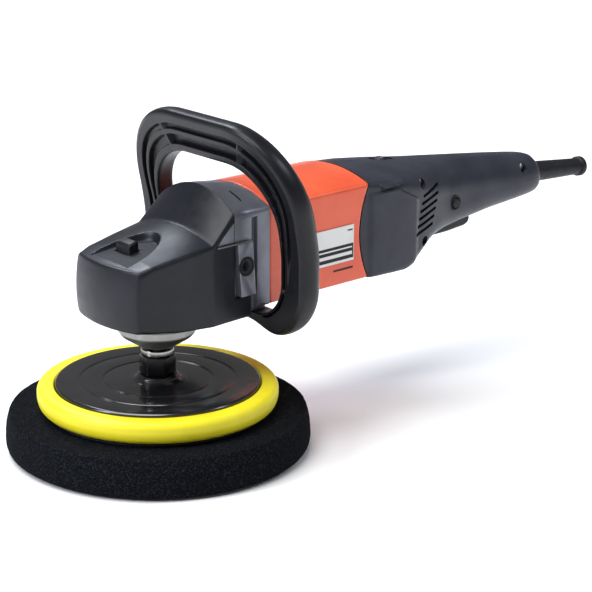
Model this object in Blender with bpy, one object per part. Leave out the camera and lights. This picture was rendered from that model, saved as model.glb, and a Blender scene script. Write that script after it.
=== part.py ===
"""Rotary polisher, modelled in Blender 4.5.

Lengths are written in millimetres and turned into metres when a mesh is made.  The spindle turns
about the world Z axis, the foam pad's working face lies at z = 0, and the motor and rear handle run
along +X, symmetric about the plane y = 0.
"""
import math
from collections import namedtuple

import bmesh
import bpy
from mathutils import Matrix, Vector

MM = 0.001
GAP = 0.3

# Pad and backing disc
PAD_RADIUS = 102.5
PAD_THICKNESS = 27.0
RIM_RADIUS = 80.7
DISC_RADIUS = 68.6
DISC_TOP = 46.6
HUB_FLATS = 21.6

# Drive line
MOTOR_Z = 125.0
GEAR_TEETH = 40
PINION_TEETH = 10
GEAR_RADIUS = 27.0
PINION_RADIUS = GEAR_RADIUS * PINION_TEETH / GEAR_TEETH
FACE_START = 21.0
SPINDLE_RADIUS = 8.3
THREAD_RADIUS = 7.0
SHAFT_RADIUS = 5.0
JOURNAL_RADIUS = 6.0

# Head
COVER_WALL = 3.0
COVER_BOTTOM = 87.5
COVER_END = 49.5
POT_RADIUS = 33.0
POT_TOP = 129.5
CHAMBER_RADIUS = 28.2
BOX_SCREW_CIRCLE = 30.5
LOCK_X = -17.0
POCKET_FRONT = -38.5
POCKET_LENGTH = 35.0
POCKET_HALF_WIDTH = 20.0
BUTTON_LOW = (-23.5, -2.0)
BUTTON_HIGH = (-16.0, 12.4)

# Motor housing and rear handle
BODY_HALF_WIDTH = 38.0
RIDGE_LOW = 94.0
RIDGE_HIGH = 161.0
HOUSING_START = 66.3
SEAM_X = 157.0
SEAM_BULGE = 8.5
SHELL_WALL = 3.0
HANDLE_END = 361.5
TRIGGER_TIP = 288.0

# Loop handle
LOOP_FRONT = 54.4
LOOP_LEAN = 15.4
LOOP_DEPTH = 20.5
LOOP_INNER_HALF_WIDTH = 61.5
LOOP_INNER_TOP = 191.0
LOOP_INNER_BOTTOM = 90.0
LOOP_LEG = 21.5
LOOP_TOP_BAR = 29.5
LOOP_BOTTOM_BAR = 14.0
LOOP_BOTTOM_RISE = 8.0
LOOP_BOLT_X = 60.6

Section = namedtuple("Section", "x half_width z_bottom z_low z_high z_top corner")


# ---------------------------------------------------------------- helpers

def clear_scene():
    for old in list(bpy.data.objects):
        bpy.data.objects.remove(old, do_unlink=True)


def material(name, colour, roughness, metallic=0.0):
    made = bpy.data.materials.get(name)
    if made is None:
        made = bpy.data.materials.new(name)
        made.use_nodes = True
        shader = made.node_tree.nodes["Principled BSDF"]
        shader.inputs["Base Color"].default_value = (*colour, 1.0)
        shader.inputs["Roughness"].default_value = roughness
        shader.inputs["Metallic"].default_value = metallic
        made.diffuse_color = (*colour, 1.0)
    return made


def finish(name, mesh_data, finish_material, pivot=(0, 0, 0), parent=None, smooth=True):
    """Turn a bmesh in millimetres into an object whose origin lies at pivot."""
    bmesh.ops.translate(mesh_data, verts=mesh_data.verts, vec=-Vector(pivot))
    bmesh.ops.scale(mesh_data, verts=mesh_data.verts, vec=(MM, MM, MM))
    bmesh.ops.recalc_face_normals(mesh_data, faces=mesh_data.faces)
    mesh = bpy.data.meshes.new(name)
    mesh_data.to_mesh(mesh)
    mesh_data.free()
    if smooth:
        mesh.shade_smooth()
        mesh.set_sharp_from_angle(angle=math.radians(32))
    made = bpy.data.objects.new(name, mesh)
    bpy.context.scene.collection.objects.link(made)
    made.location = Vector(pivot) * MM
    if parent is not None:
        made.parent = parent
        made.location = Vector(pivot) * MM - parent.location
    if finish_material is not None:
        mesh.materials.append(finish_material)
    return made


def axis_empty(name, position):
    """Empty on a joint's axis, the parent of what moves with that joint."""
    made = bpy.data.objects.new(name, None)
    bpy.context.scene.collection.objects.link(made)
    made.location = Vector(position) * MM
    made.empty_display_size = 0.02
    return made


def lift(point, axis, height):
    """Place a 2-D point on the plane at height along axis."""
    a, b = point
    if axis == "X":
        return Vector((height, a, b))
    if axis == "Y":
        return Vector((a, height, b))
    return Vector((a, b, height))


def turned(name, profile, finish_material, axis="Z", centre=(0, 0), steps=32, pivot=(0, 0, 0), parent=None):
    """Spin a closed profile of (radius, height) points about an axis through centre."""
    mesh_data = bmesh.new()
    start = [mesh_data.verts.new(lift((centre[0] + radius, centre[1]), axis, height))
             for radius, height in profile]
    edges = [mesh_data.edges.new((start[i], start[(i + 1) % len(start)]))
             for i in range(len(start))
             if profile[i][0] > 0 or profile[(i + 1) % len(start)][0] > 0]
    direction = {"X": (1, 0, 0), "Y": (0, 1, 0), "Z": (0, 0, 1)}[axis]
    bmesh.ops.spin(mesh_data, geom=start + edges, cent=lift(centre, axis, 0), axis=direction,
                   angle=math.tau, steps=steps, use_merge=True)
    bmesh.ops.remove_doubles(mesh_data, verts=mesh_data.verts, dist=1e-4)
    return finish(name, mesh_data, finish_material, pivot, parent)


def prism(name, outline, low, high, finish_material, axis="Z", pivot=(0, 0, 0), parent=None, smooth=True):
    """Extrude a closed 2-D outline between two heights along an axis."""
    mesh_data = bmesh.new()
    base = mesh_data.faces.new([mesh_data.verts.new(lift(point, axis, low)) for point in outline])
    raised = bmesh.ops.extrude_face_region(mesh_data, geom=[base])
    moved = [item for item in raised["geom"] if isinstance(item, bmesh.types.BMVert)]
    bmesh.ops.translate(mesh_data, verts=moved, vec=lift((0, 0), axis, high - low))
    return finish(name, mesh_data, finish_material, pivot, parent, smooth)


def block(name, low, high, finish_material, bevel=0.0, pivot=(0, 0, 0), parent=None):
    """Box between two corners, with its edges eased when bevel is given."""
    outline = [(low[0], low[1]), (high[0], low[1]), (high[0], high[1]), (low[0], high[1])]
    made = prism(name, outline, low[2], high[2], finish_material, "Z", pivot, parent, smooth=False)
    if bevel:
        ease = made.modifiers.new("Eased edges", "BEVEL")
        ease.width = bevel * MM
        ease.segments = 1
    return made


def circle(radius, steps, centre=(0, 0), start=0.0):
    return [(centre[0] + radius * math.cos(start + math.tau * i / steps),
             centre[1] + radius * math.sin(start + math.tau * i / steps)) for i in range(steps)]


def rod(name, radius, low, high, finish_material, axis="Z", centre=(0, 0), steps=16,
        pivot=(0, 0, 0), parent=None):
    return prism(name, circle(radius, steps, centre), low, high, finish_material, axis, pivot, parent)


def cutter(shape):
    shape.hide_render = True
    shape.display_type = "WIRE"
    return shape


def combine(target, tool, operation):
    change = target.modifiers.new(operation.title() + " " + tool.name, "BOOLEAN")
    change.operation = operation
    change.solver = "EXACT"
    change.object = cutter(tool)


def cut(target, *tools):
    for tool in tools:
        combine(target, tool, "DIFFERENCE")


def join(target, *tools):
    for tool in tools:
        combine(target, tool, "UNION")


def bridge(mesh_data, rings):
    """Skin a row of closed vertex rings that have the same number of points."""
    count = len(rings[0])
    for first, second in zip(rings, rings[1:]):
        for i in range(count):
            j = (i + 1) % count
            mesh_data.faces.new((first[i], first[j], second[j], second[i]))


def loft(name, rings, finish_material, closed=False, pivot=(0, 0, 0), parent=None):
    """Skin rings of 3-D points, either capped at both ends or closed into a ring."""
    mesh_data = bmesh.new()
    made = [[mesh_data.verts.new(point) for point in ring] for ring in rings]
    if closed:
        bridge(mesh_data, made + [made[0]])
    else:
        bridge(mesh_data, made)
        mesh_data.faces.new(made[0])
        mesh_data.faces.new(made[-1])
    return finish(name, mesh_data, finish_material, pivot, parent)


def coil(name, centre, radius, wire, turns, low, high, finish_material, pivot=(0, 0, 0), parent=None):
    """Helical spring about a vertical line through centre."""
    steps = 8
    rise = (high - low - 2 * wire) / (turns * steps)
    rings = []
    for i in range(turns * steps + 1):
        angle = math.tau * i / steps
        outward = Vector((math.cos(angle), math.sin(angle), 0))
        middle = Vector((centre[0], centre[1], low + wire + rise * i)) + outward * radius
        rings.append([middle + (outward * math.cos(turn) + Vector((0, 0, 1)) * math.sin(turn)) * wire
                      for turn in (math.tau * k / 4 for k in range(4))])
    return loft(name, rings, finish_material, pivot=pivot, parent=parent)


# ---------------------------------------------------------------- housing sections

def curve_between(start, control, end, steps):
    points = []
    for i in range(steps + 1):
        t = i / steps
        points.append(tuple(a * (1 - t) ** 2 + 2 * b * t * (1 - t) + c * t ** 2
                            for a, b, c in zip(start, control, end)))
    return points


def half_outline(section, wall=0.0, fillet=3):
    """Half a housing section as (y, z) points, bottom centre to top centre.

    The sides are flat, top and bottom are crowned as parabolas, and the four corners are eased.
    """
    w = section.half_width - wall
    bottom = section.z_bottom + wall
    low = section.z_low + wall
    high = section.z_high - wall
    top = section.z_top - wall
    ease = max(section.corner - wall, 1.0)
    flat = w - ease

    def floor_at(y):
        return bottom + (low - bottom) * (y / w) ** 2

    def roof_at(y):
        return top - (top - high) * (y / w) ** 2

    points = [(0, bottom), (flat / 2, floor_at(flat / 2))]
    points += curve_between((flat, floor_at(flat)), (w, low), (w, low + ease), fillet)
    side = high - low - 2 * ease
    points += [(w, low + ease + side * share) for share in (0.25, 0.5, 0.75)]
    points += curve_between((w, high - ease), (w, high), (flat, roof_at(flat)), fillet)
    points += [(flat / 2, roof_at(flat / 2)), (0, top)]
    return points


def full_outline(section, wall=0.0, fillet=3):
    half = half_outline(section, wall, fillet)
    return half + [(-y, z) for y, z in reversed(half[1:-1])]


def ring_at(section, wall=0.0, place=None):
    """Closed ring of 3-D points; place gives x from (y, z) where the ring isn't planar."""
    return [Vector((place(y, z) if place else section.x, y, z)) for y, z in full_outline(section, wall)]


def seam_x(z):
    """Where the motor housing ends: the handle's sides bulge forward over it."""
    middle = (RIDGE_LOW + RIDGE_HIGH) / 2
    reach = (RIDGE_HIGH - RIDGE_LOW) / 2
    return SEAM_X - SEAM_BULGE * max(0.0, 1 - ((z - middle) / reach) ** 2)


# ---------------------------------------------------------------- pad and hub

def build_pad(spindle_axis):
    foam = material("pad_foam", (0.012, 0.013, 0.016), 0.95)
    turned("foam_pad", [(0, 0), (95.0, 0), (100.0, 2.0), (PAD_RADIUS, 6.5), (101.8, 15.0),
                        (100.0, PAD_THICKNESS), (0, PAD_THICKNESS)], foam, steps=48, parent=spindle_axis)
    low = PAD_THICKNESS + GAP
    turned("hook_disc", [(0, low), (75.0, low), (75.0, low + 2), (0, low + 2)],
           material("hook_fabric", (0.03, 0.03, 0.03), 0.9), steps=40, parent=spindle_axis)
    seat = low + 2 + GAP
    turned("backing_rim", [(0, seat), (77.0, seat), (79.6, seat + 2.5), (RIM_RADIUS, seat + 6.5),
                           (RIM_RADIUS, 41.5), (79.0, 44.3), (76.0, 45.0), (69.2, 45.0),
                           (69.2, 38.0), (0, 38.0)],
           material("rim_yellow", (0.86, 0.80, 0.05), 0.55), steps=44, parent=spindle_axis)


def build_backing_disc(spindle_axis):
    low = 38.0 + GAP
    bore = THREAD_RADIUS + GAP
    turned("backing_disc", [(bore, low), (DISC_RADIUS, low), (DISC_RADIUS, 45.6), (67.4, DISC_TOP),
                            (17.0, DISC_TOP), (14.2, 48.4), (14.2, 49.6), (12.8, 50.7), (bore, 50.7)],
           material("disc_black", (0.01, 0.01, 0.012), 0.22), steps=40, parent=spindle_axis)


def build_hub_nut(spindle_axis):
    across_corners = HUB_FLATS / math.cos(math.pi / 6) / 2
    nut = prism("hub_nut", circle(across_corners, 6, start=math.radians(15)), 51.0, 64.7,
                material("nut_black", (0.015, 0.015, 0.017), 0.35), parent=spindle_axis, smooth=False)
    ease = nut.modifiers.new("Eased edges", "BEVEL")
    ease.width = 0.8 * MM
    ease.segments = 1
    cut(nut, rod("hub_nut_bore", THREAD_RADIUS + GAP, 50, 66, None, steps=24))


def build_spindle(spindle_axis):
    steel = material("spindle_steel", (0.62, 0.62, 0.63), 0.25, 1.0)
    turned("spindle", [(0, 41.0), (6.2, 41.0), (THREAD_RADIUS, 41.8), (THREAD_RADIUS, 65.0),
                       (11.0, 65.0), (11.0, 68.5), (SPINDLE_RADIUS, 69.5), (SPINDLE_RADIUS, 115.0),
                       (JOURNAL_RADIUS, 116.0), (JOURNAL_RADIUS, 133.4), (5.2, 134.2), (0, 134.2)],
           steel, steps=28, parent=spindle_axis)


# ---------------------------------------------------------------- bevel gears

def tooth_points(scale, half_widths, heights, along, outward, across):
    """Four corners of one tooth section at a share of the outer cone distance."""
    corners = [(-half_widths[0], heights[0]), (-half_widths[1], heights[1]),
               (half_widths[1], heights[1]), (half_widths[0], heights[0])]
    return [(along + outward * height + across * side) * scale for side, height in corners]


def tooth_ring(teeth, phase, turn_axis, apex, points):
    ring = []
    for index in range(teeth):
        turn = Matrix.Rotation(math.tau * (index + phase) / teeth, 3, turn_axis)
        ring += [apex + turn @ point for point in points]
    return ring


def plain_ring(reference, radius, height, axis):
    """Ring of the same count as a tooth ring, at one radius and one height."""
    ring = []
    for point in reference:
        if axis == "Z":
            flat = Vector((point.x, point.y, 0)).normalized() * radius
            ring.append(flat + Vector((0, 0, height)))
        else:
            flat = Vector((0, point.y, point.z - MOTOR_Z)).normalized() * radius
            ring.append(flat + Vector((height, 0, MOTOR_Z)))
    return ring


def cone_frame():
    """Apex, the line to the outer pitch point below the motor axis, and the line's upward normal."""
    apex = Vector((0, 0, MOTOR_Z))
    along = Vector((GEAR_RADIUS, 0, -PINION_RADIUS))
    normal = Vector((PINION_RADIUS, 0, GEAR_RADIUS)).normalized()
    return apex, along, normal


def build_crown_gear(spindle_axis):
    apex, along, normal = cone_frame()
    pitch = math.tau * GEAR_RADIUS / GEAR_TEETH
    widths = (0.30 * pitch, 0.075 * pitch)
    heights = (-0.36 * pitch, 0.25 * pitch)
    across = Vector((0, 1, 0))
    rings = []
    outer = tooth_ring(GEAR_TEETH, 0.5, "Z", apex, tooth_points(1.0, widths, heights, along, normal, across))
    inner = tooth_ring(GEAR_TEETH, 0.5, "Z", apex,
                       tooth_points(FACE_START / GEAR_RADIUS, widths, heights, along, normal, across))
    bore = SPINDLE_RADIUS + GAP
    rings.append(plain_ring(outer, bore, 106.5, "Z"))
    rings.append(plain_ring(outer, 25.6, 106.5, "Z"))
    rings.append(outer)
    rings.append(inner)
    rings.append(plain_ring(outer, bore, 114.7, "Z"))
    gear = loft("crown_gear", rings, material("gear_steel", (0.42, 0.42, 0.43), 0.35, 1.0),
                closed=True, parent=spindle_axis)
    for index in range(4):
        angle = math.tau * index / 4
        place = (LOCK_X * math.cos(angle), LOCK_X * math.sin(angle))
        cut(gear, rod("lock_hole_%d" % index, 2.9, 110.5, 122, None, centre=place, steps=8))


def build_pinion(motor_axis, pivot):
    apex, along, normal = cone_frame()
    pitch = math.tau * GEAR_RADIUS / GEAR_TEETH
    widths = (0.25 * pitch, 0.09 * pitch)
    heights = (-0.33 * pitch, 0.26 * pitch)
    across = Vector((0, 1, 0))
    outer = tooth_ring(PINION_TEETH, 0, "X", apex, tooth_points(1.0, widths, heights, along, -normal, across))
    inner = tooth_ring(PINION_TEETH, 0, "X", apex,
                       tooth_points(FACE_START / GEAR_RADIUS, widths, heights, along, -normal, across))
    rings = [plain_ring(outer, 2.5, 20.8, "X"), plain_ring(outer, 3.2, 20.8, "X"), inner, outer,
             plain_ring(outer, 5.6, 28.0, "X"), plain_ring(outer, 5.6, 31.2, "X"),
             plain_ring(outer, 2.5, 31.2, "X")]
    loft("bevel_pinion", rings, material("gear_steel", (0.42, 0.42, 0.43), 0.35, 1.0),
         closed=True, pivot=pivot, parent=motor_axis)


# ---------------------------------------------------------------- armature

def build_armature(motor_axis, pivot):
    centre = (0, MOTOR_Z)
    steel = material("spindle_steel", (0.62, 0.62, 0.63), 0.25, 1.0)
    copper = material("copper", (0.60, 0.27, 0.12), 0.4, 1.0)

    def part(name, profile, finish_material, steps=18):
        return turned(name, profile, finish_material, "X", centre, steps, pivot, motor_axis)

    part("armature_shaft", [(0, 16.0), (2.2, 16.0), (2.2, 31.5), (JOURNAL_RADIUS, 31.5),
                            (JOURNAL_RADIUS, 56.0), (SHAFT_RADIUS, 56.0), (SHAFT_RADIUS, 176.0),
                            (0, 176.0)], steel, 20)
    part("pinion_nut", [(2.6, 17.2), (4.2, 17.2), (4.2, 20.5), (2.6, 20.5)], steel, 12)
    clear = SHAFT_RADIUS + GAP
    laminations = material("laminations", (0.30, 0.30, 0.31), 0.5, 1.0)
    slots = 12
    outline = []
    for index in range(slots):
        for radius, share in ((20.4, -0.36), (20.4, 0.36), (14.0, 0.42), (14.0, 0.58)):
            angle = math.tau * (index + share) / slots
            outline.append((radius * math.cos(angle), MOTOR_Z + radius * math.sin(angle)))
    core = prism("armature_core", outline, 88.0, 130.0, laminations, "X", pivot, motor_axis)
    cut(core, rod("armature_core_bore", clear, 86, 132, None, "X", centre, 20))
    part("armature_winding_front", [(clear, 78.0), (14.5, 78.0), (17.0, 81.0), (17.0, 87.7), (clear, 87.7)],
         copper)
    part("armature_winding_rear", [(clear, 130.3), (17.0, 130.3), (17.0, 136.0), (14.0, 139.0),
                                   (clear, 139.0)], copper)
    part("commutator", [(clear, 141.5), (11.5, 141.5), (11.5, 143.5), (10.6, 144.0), (10.6, 157.0),
                        (clear, 157.0)], copper)


def build_fan(motor_axis, pivot):
    centre = (0, MOTOR_Z)
    grey = material("fan_plastic", (0.08, 0.08, 0.09), 0.5)
    blades = 11
    outline = []
    for index in range(blades):
        for radius, share in ((28.4, -0.05), (28.4, 0.05), (9.5, 0.16), (9.5, 0.84)):
            angle = math.tau * (index + share) / blades
            outline.append((radius * math.cos(angle), MOTOR_Z + radius * math.sin(angle)))
    fan = prism("cooling_fan", outline, 60.0, 69.0, grey, "X", pivot, motor_axis)
    join(fan, rod("fan_plate", 28.8, 68.4, 70.6, None, "X", centre, 32))
    cut(fan, rod("fan_bore", SHAFT_RADIUS + GAP, 58, 72, None, "X", centre, 20))


# ---------------------------------------------------------------- bearings and stator

def bearing(name, axis, centre, inner, outer, low, high):
    return turned(name, [(inner, low), (outer, low), (outer, high), (inner, high)],
                  material("bearing_steel", (0.55, 0.55, 0.56), 0.3, 1.0), axis, centre, 20)


def build_bearings():
    bearing("spindle_bearing_lower", "Z", (0, 0), SPINDLE_RADIUS + GAP, 16.0, 79.3, 90.4)
    bearing("spindle_bearing_upper", "Z", (0, 0), JOURNAL_RADIUS + GAP, 9.5, 128.6, 134.4)
    bearing("armature_bearing_front", "X", (0, MOTOR_Z), JOURNAL_RADIUS + GAP, 15.7, 44.3, 54.3)
    bearing("armature_bearing_rear", "X", (0, MOTOR_Z), SHAFT_RADIUS + GAP, 11.0, 164.3, 173.5)


def build_stator():
    laminations = material("laminations", (0.30, 0.30, 0.31), 0.5, 1.0)
    outline = []
    for y, z in circle(33.0, 36, (0, MOTOR_Z)):
        outline.append((y, min(max(z, MOTOR_Z - 30.0), MOTOR_Z + 30.0)))
    stator = prism("stator", outline, 88.0, 130.0, laminations, "X")
    cut(stator, rod("stator_bore", 21.6, 86, 132, None, "X", (0, MOTOR_Z), 32))
    copper = material("copper", (0.60, 0.27, 0.12), 0.4, 1.0)
    for name, side in (("field_coil_upper", 1), ("field_coil_lower", -1)):
        arc = [math.radians(90 * side + offset) for offset in range(-48, 49, 16)]
        outline = [(28.0 * math.cos(a), MOTOR_Z + 28.0 * math.sin(a)) for a in arc]
        outline += [(22.5 * math.cos(a), MOTOR_Z + 22.5 * math.sin(a)) for a in reversed(arc)]
        prism(name, outline, 130.3, 139.0, copper, "X")
    plastic = material("inner_plastic", (0.05, 0.05, 0.055), 0.6)
    turned("air_baffle", [(22.0, 75.0), (31.5, 75.0), (31.5, 77.0), (22.0, 77.0)], plastic, "X",
           (0, MOTOR_Z), 24)
    turned("bearing_bracket", [(7.0, 160.0), (29.5, 160.0), (29.5, 163.0), (14.5, 163.0), (14.5, 174.0),
                               (11.4, 174.0), (11.4, 164.0), (7.0, 164.0)], plastic, "X", (0, MOTOR_Z), 22)


def build_brushes():
    carbon = material("carbon", (0.02, 0.02, 0.02), 0.7)
    brass = material("brass", (0.66, 0.48, 0.18), 0.35, 1.0)
    for label, side in (("left", -1), ("right", 1)):
        low, high = sorted((side * 10.9, side * 25.0))
        prism("carbon_brush_" + label, [(147.0, low), (153.5, low), (153.5, high), (147.0, high)],
              MOTOR_Z - 2.5, MOTOR_Z + 2.5, carbon, smooth=False)
        low, high = sorted((side * 14.0, side * 30.0))
        holder = prism("brush_holder_" + label, [(145.4, low), (155.1, low), (155.1, high), (145.4, high)],
                       MOTOR_Z - 4.2, MOTOR_Z + 4.2, brass, smooth=False)
        low, high = sorted((side * 10.0, side * 27.0))
        cut(holder, block("brush_slot_" + label, (146.7, low, MOTOR_Z - 2.8),
                          (153.8, high, MOTOR_Z + 2.8), None))


# ---------------------------------------------------------------- gear housing and bearing box

def build_bearing_box():
    silver = material("cast_silver", (0.70, 0.69, 0.67), 0.35, 1.0)
    box = turned("bearing_box", [(9.4, 71.0), (12.5, 71.0), (23.5, 78.0), (26.0, 81.0), (26.0, 88.0),
                                 (33.2, 88.0), (33.2, 91.4), (16.3, 91.4), (16.3, 79.0), (9.4, 79.0)],
                 silver, steps=28)
    steel = material("screw_steel", (0.5, 0.5, 0.51), 0.35, 1.0)
    for index in range(4):
        angle = math.radians(45 + 90 * index)
        place = (BOX_SCREW_CIRCLE * math.cos(angle), BOX_SCREW_CIRCLE * math.sin(angle))
        cut(box, rod("box_screw_hole_%d" % index, 1.7, 87, 93, None, centre=place, steps=8),
            rod("box_screw_recess_%d" % index, 2.4, 87, 90.2, None, centre=place, steps=10))
        turned("box_screw_%d" % (index + 1), [(0, 88.2), (2.0, 88.2), (2.0, 89.9), (1.3, 89.9),
                                              (1.3, 97.0), (0, 97.0)], steel, "Z", place, 8)


def gear_housing_body(metal):
    sections = [Section(5.0, 32.0, 91.8, 92.0, 138.5, 139.5, 3.0),
                Section(19.0, 34.3, 91.8, 92.0, 139.5, 146.0, 3.0),
                Section(35.45, 34.3, 91.8, 92.0, 157.0, 171.0, 3.0),
                Section(35.55, BODY_HALF_WIDTH, 91.8, 93.5, RIDGE_HIGH, 175.2, 2.5),
                Section(66.0, BODY_HALF_WIDTH, 91.8, 93.5, RIDGE_HIGH, 170.4, 2.5)]
    housing = loft("gear_housing", [ring_at(section) for section in sections], metal)
    join(housing, block("loop_foot", (51.0, -33.0, 90.3), (66.0, 33.0, 96.0), None))
    return housing


def side_panels(name, outline, inner, outer):
    """Matching prisms on both sides of the plane y = 0."""
    return [prism(name + "_left", outline, -outer, -inner, None, "Y", smooth=False),
            prism(name + "_right", outline, inner, outer, None, "Y", smooth=False)]


def build_gear_housing():
    metal = material("cast_grey", (0.10, 0.105, 0.125), 0.42, 0.6)
    housing = gear_housing_body(metal)
    join(housing, rod("gear_pot", POT_RADIUS, 91.8, POT_TOP, None, steps=40),
         rod("upper_bearing_boss", 12.8, 120.0, 137.3, None, steps=28))
    cut(housing, *side_panels("bolt_bay", [(34.0, 80.0), (55.0, 80.0), (55.0, 142.0), (34.0, 142.0)],
                              34.5, 50))
    cut(housing, *side_panels("rear_groove", [(50.0, 96.0), (55.0, 96.0), (55.0, 157.0), (50.0, 157.0)],
                              34.5, 50))
    cheek = [(20.0, 142.3), (35.8, 142.3), (35.8, 156.8)]
    join(housing, *side_panels("cheek", cheek, 20.0, BODY_HALF_WIDTH))
    pad = [(36.5, 141.0), (49.6, 141.0), (52.0, 104.5), (39.5, 104.5)]
    join(housing, *side_panels("bolt_pad", pad, 20.0, 40.0))
    cut(housing, rod("gear_chamber", CHAMBER_RADIUS, 90, 126.5, None, steps=36),
        rod("pinion_bore", 10.0, 8, 60, None, "X", (0, MOTOR_Z), 28),
        rod("front_bearing_seat", 16.0, 44.0, 70, None, "X", (0, MOTOR_Z), 28),
        rod("fan_bay", 31.0, 57.0, 70, None, "X", (0, MOTOR_Z), 36))
    join(housing, rod("lock_guide_boss", 5.5, 121.5, 128.0, None, centre=(LOCK_X, 0), steps=16))
    cut(housing, rod("upper_bearing_seat", 9.8, 110, 134.7, None, steps=28),
        rod("lock_pin_bore", 2.6, 115, 135, None, centre=(LOCK_X, 0), steps=16),
        rod("lock_spring_seat", 4.6, 124.5, 135, None, centre=(LOCK_X, 0), steps=16))
    for label, low, high in (("left", -50, -27.0), ("right", 27.0, 50)):
        cut(housing, rod("side_handle_thread_" + label, 4.2, low, high, None, "Y", (44.0, MOTOR_Z), 20))
    for index in range(4):
        angle = math.radians(45 + 90 * index)
        place = (BOX_SCREW_CIRCLE * math.cos(angle), BOX_SCREW_CIRCLE * math.sin(angle))
        cut(housing, rod("box_screw_thread_%d" % index, 1.7, 90, 98.0, None, centre=place, steps=8))
    for index, (y, z) in enumerate(corner_posts()):
        cut(housing, rod("housing_screw_thread_%d" % index, 2.5, 58.0, 70, None, "X", (y, z), 12))
    for index, y in enumerate((-20.0, 20.0)):
        cut(housing, rod("loop_bolt_thread_%d" % index, 3.3, 88, 98.6, None,
                         centre=(LOOP_BOLT_X, y), steps=14))


def corner_posts():
    return [(side * 30.0, z) for side in (-1, 1) for z in (99.8, 152.0)]


# ---------------------------------------------------------------- head cover

def nose_x(y, z):
    """The nose's front face bows forward in plan and leans back towards its top edge."""
    bow = 5.5 * (y / 32.0) ** 2
    lean = 2.5 * (max(z - 112.0, 0.0) / 23.0) ** 2 + 2.0 * (max(112.0 - z, 0.0) / 19.0) ** 2
    return -47.5 + bow + lean


def cover_sections():
    return [Section(-30.0, 34.6, 91.6, 92.6, 137.2, 139.4, 2.6),
            Section(-8.0, 37.2, 88.6, 89.6, 140.4, 145.4, 2.4),
            Section(16.0, 39.4, COVER_BOTTOM, 88.5, 143.6, 151.8, 2.0),
            Section(35.2, 38.2, COVER_BOTTOM, 88.5, RIDGE_HIGH, 175.2, 2.0),
            Section(COVER_END, 37.8, COVER_BOTTOM, 88.5, RIDGE_HIGH, 174.0, 2.0)]


def cover_shell(plastic):
    """Hollow nose: outer skin, closed front, open rear, and an inner skin one wall inside."""
    nose = Section(-42.0, 33.4, 93.0, 93.6, 135.4, 135.6, 4.0)
    middle = (nose.z_low + nose.z_high) / 2
    mesh_data = bmesh.new()

    def add(ring):
        return [mesh_data.verts.new(point) for point in ring]

    outer = []
    for share in (0.45, 0.8, 0.94):
        ring = [(y * share, middle + (z - middle) * share) for y, z in full_outline(nose)]
        outer.append(add([Vector((nose_x(y, z), y, z)) for y, z in ring]))
    outer.append(add([Vector((nose_x(y, z) + 2.2, y, z)) for y, z in full_outline(nose)]))
    outer += [add(ring_at(section)) for section in cover_sections()]
    inner = [add(ring_at(nose._replace(x=-39.0), COVER_WALL))]
    inner += [add(ring_at(section, COVER_WALL)) for section in cover_sections()]
    bridge(mesh_data, outer)
    bridge(mesh_data, inner)
    bridge(mesh_data, [outer[-1], inner[-1]])
    mesh_data.faces.new(outer[0])
    mesh_data.faces.new(inner[0])
    return finish("head_cover", mesh_data, plastic)


def pocket_outline(margin=0.0):
    """Scoop in the nose: straight in front, a half ellipse behind."""
    half_width = POCKET_HALF_WIDTH + margin
    points = [(POCKET_FRONT - margin, half_width), (POCKET_FRONT - margin, -half_width)]
    for index in range(1, 14):
        angle = math.radians(-90 + 180 * index / 14)
        points.append((POCKET_FRONT + 4 + (POCKET_LENGTH + margin) * math.cos(angle),
                       half_width * math.sin(angle)))
    return points


def pocket_solid(name, margin, below, top):
    """Prism over the scoop's outline whose floor climbs towards the rear."""
    mesh_data = bmesh.new()
    outline = pocket_outline(margin)
    floor = [mesh_data.verts.new((x, y, pocket_floor(x) - below)) for x, y in outline]
    if top is None:
        lid = [mesh_data.verts.new((x, y, pocket_floor(x) + 0.6)) for x, y in outline]
    else:
        lid = [mesh_data.verts.new((x, y, top)) for x, y in outline]
    bridge(mesh_data, [floor, lid])
    mesh_data.faces.new(floor)
    mesh_data.faces.new(lid)
    return finish(name, mesh_data, None, smooth=False)


def pocket_floor(x):
    return 135.6 + 0.235 * (x - POCKET_FRONT)


def build_head_cover():
    plastic = material("head_plastic", (0.045, 0.047, 0.058), 0.55)
    cover = cover_shell(plastic)
    join(cover, pocket_solid("scoop_tray", 1.5, 2.4, None))
    cut(cover, pocket_solid("scoop", 0.0, 0.0, 160))
    cut(cover, block("button_hole", (BUTTON_LOW[0] - GAP, BUTTON_LOW[1] - GAP, 120),
                     (BUTTON_HIGH[0] + GAP, BUTTON_HIGH[1] + GAP, 160), None))
    cut(cover, block("rear_opening", (35.2, -60, 103.3), (60, 60, 190), None))
    window = [(19.0, 141.8), (37.0, 141.8), (37.0, 158.4)]
    cut(cover, *side_panels("cheek_window", window, 33.0, 50))
    cut(cover, rod("spindle_opening", 33.5, 80, 100, None, steps=40))


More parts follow.
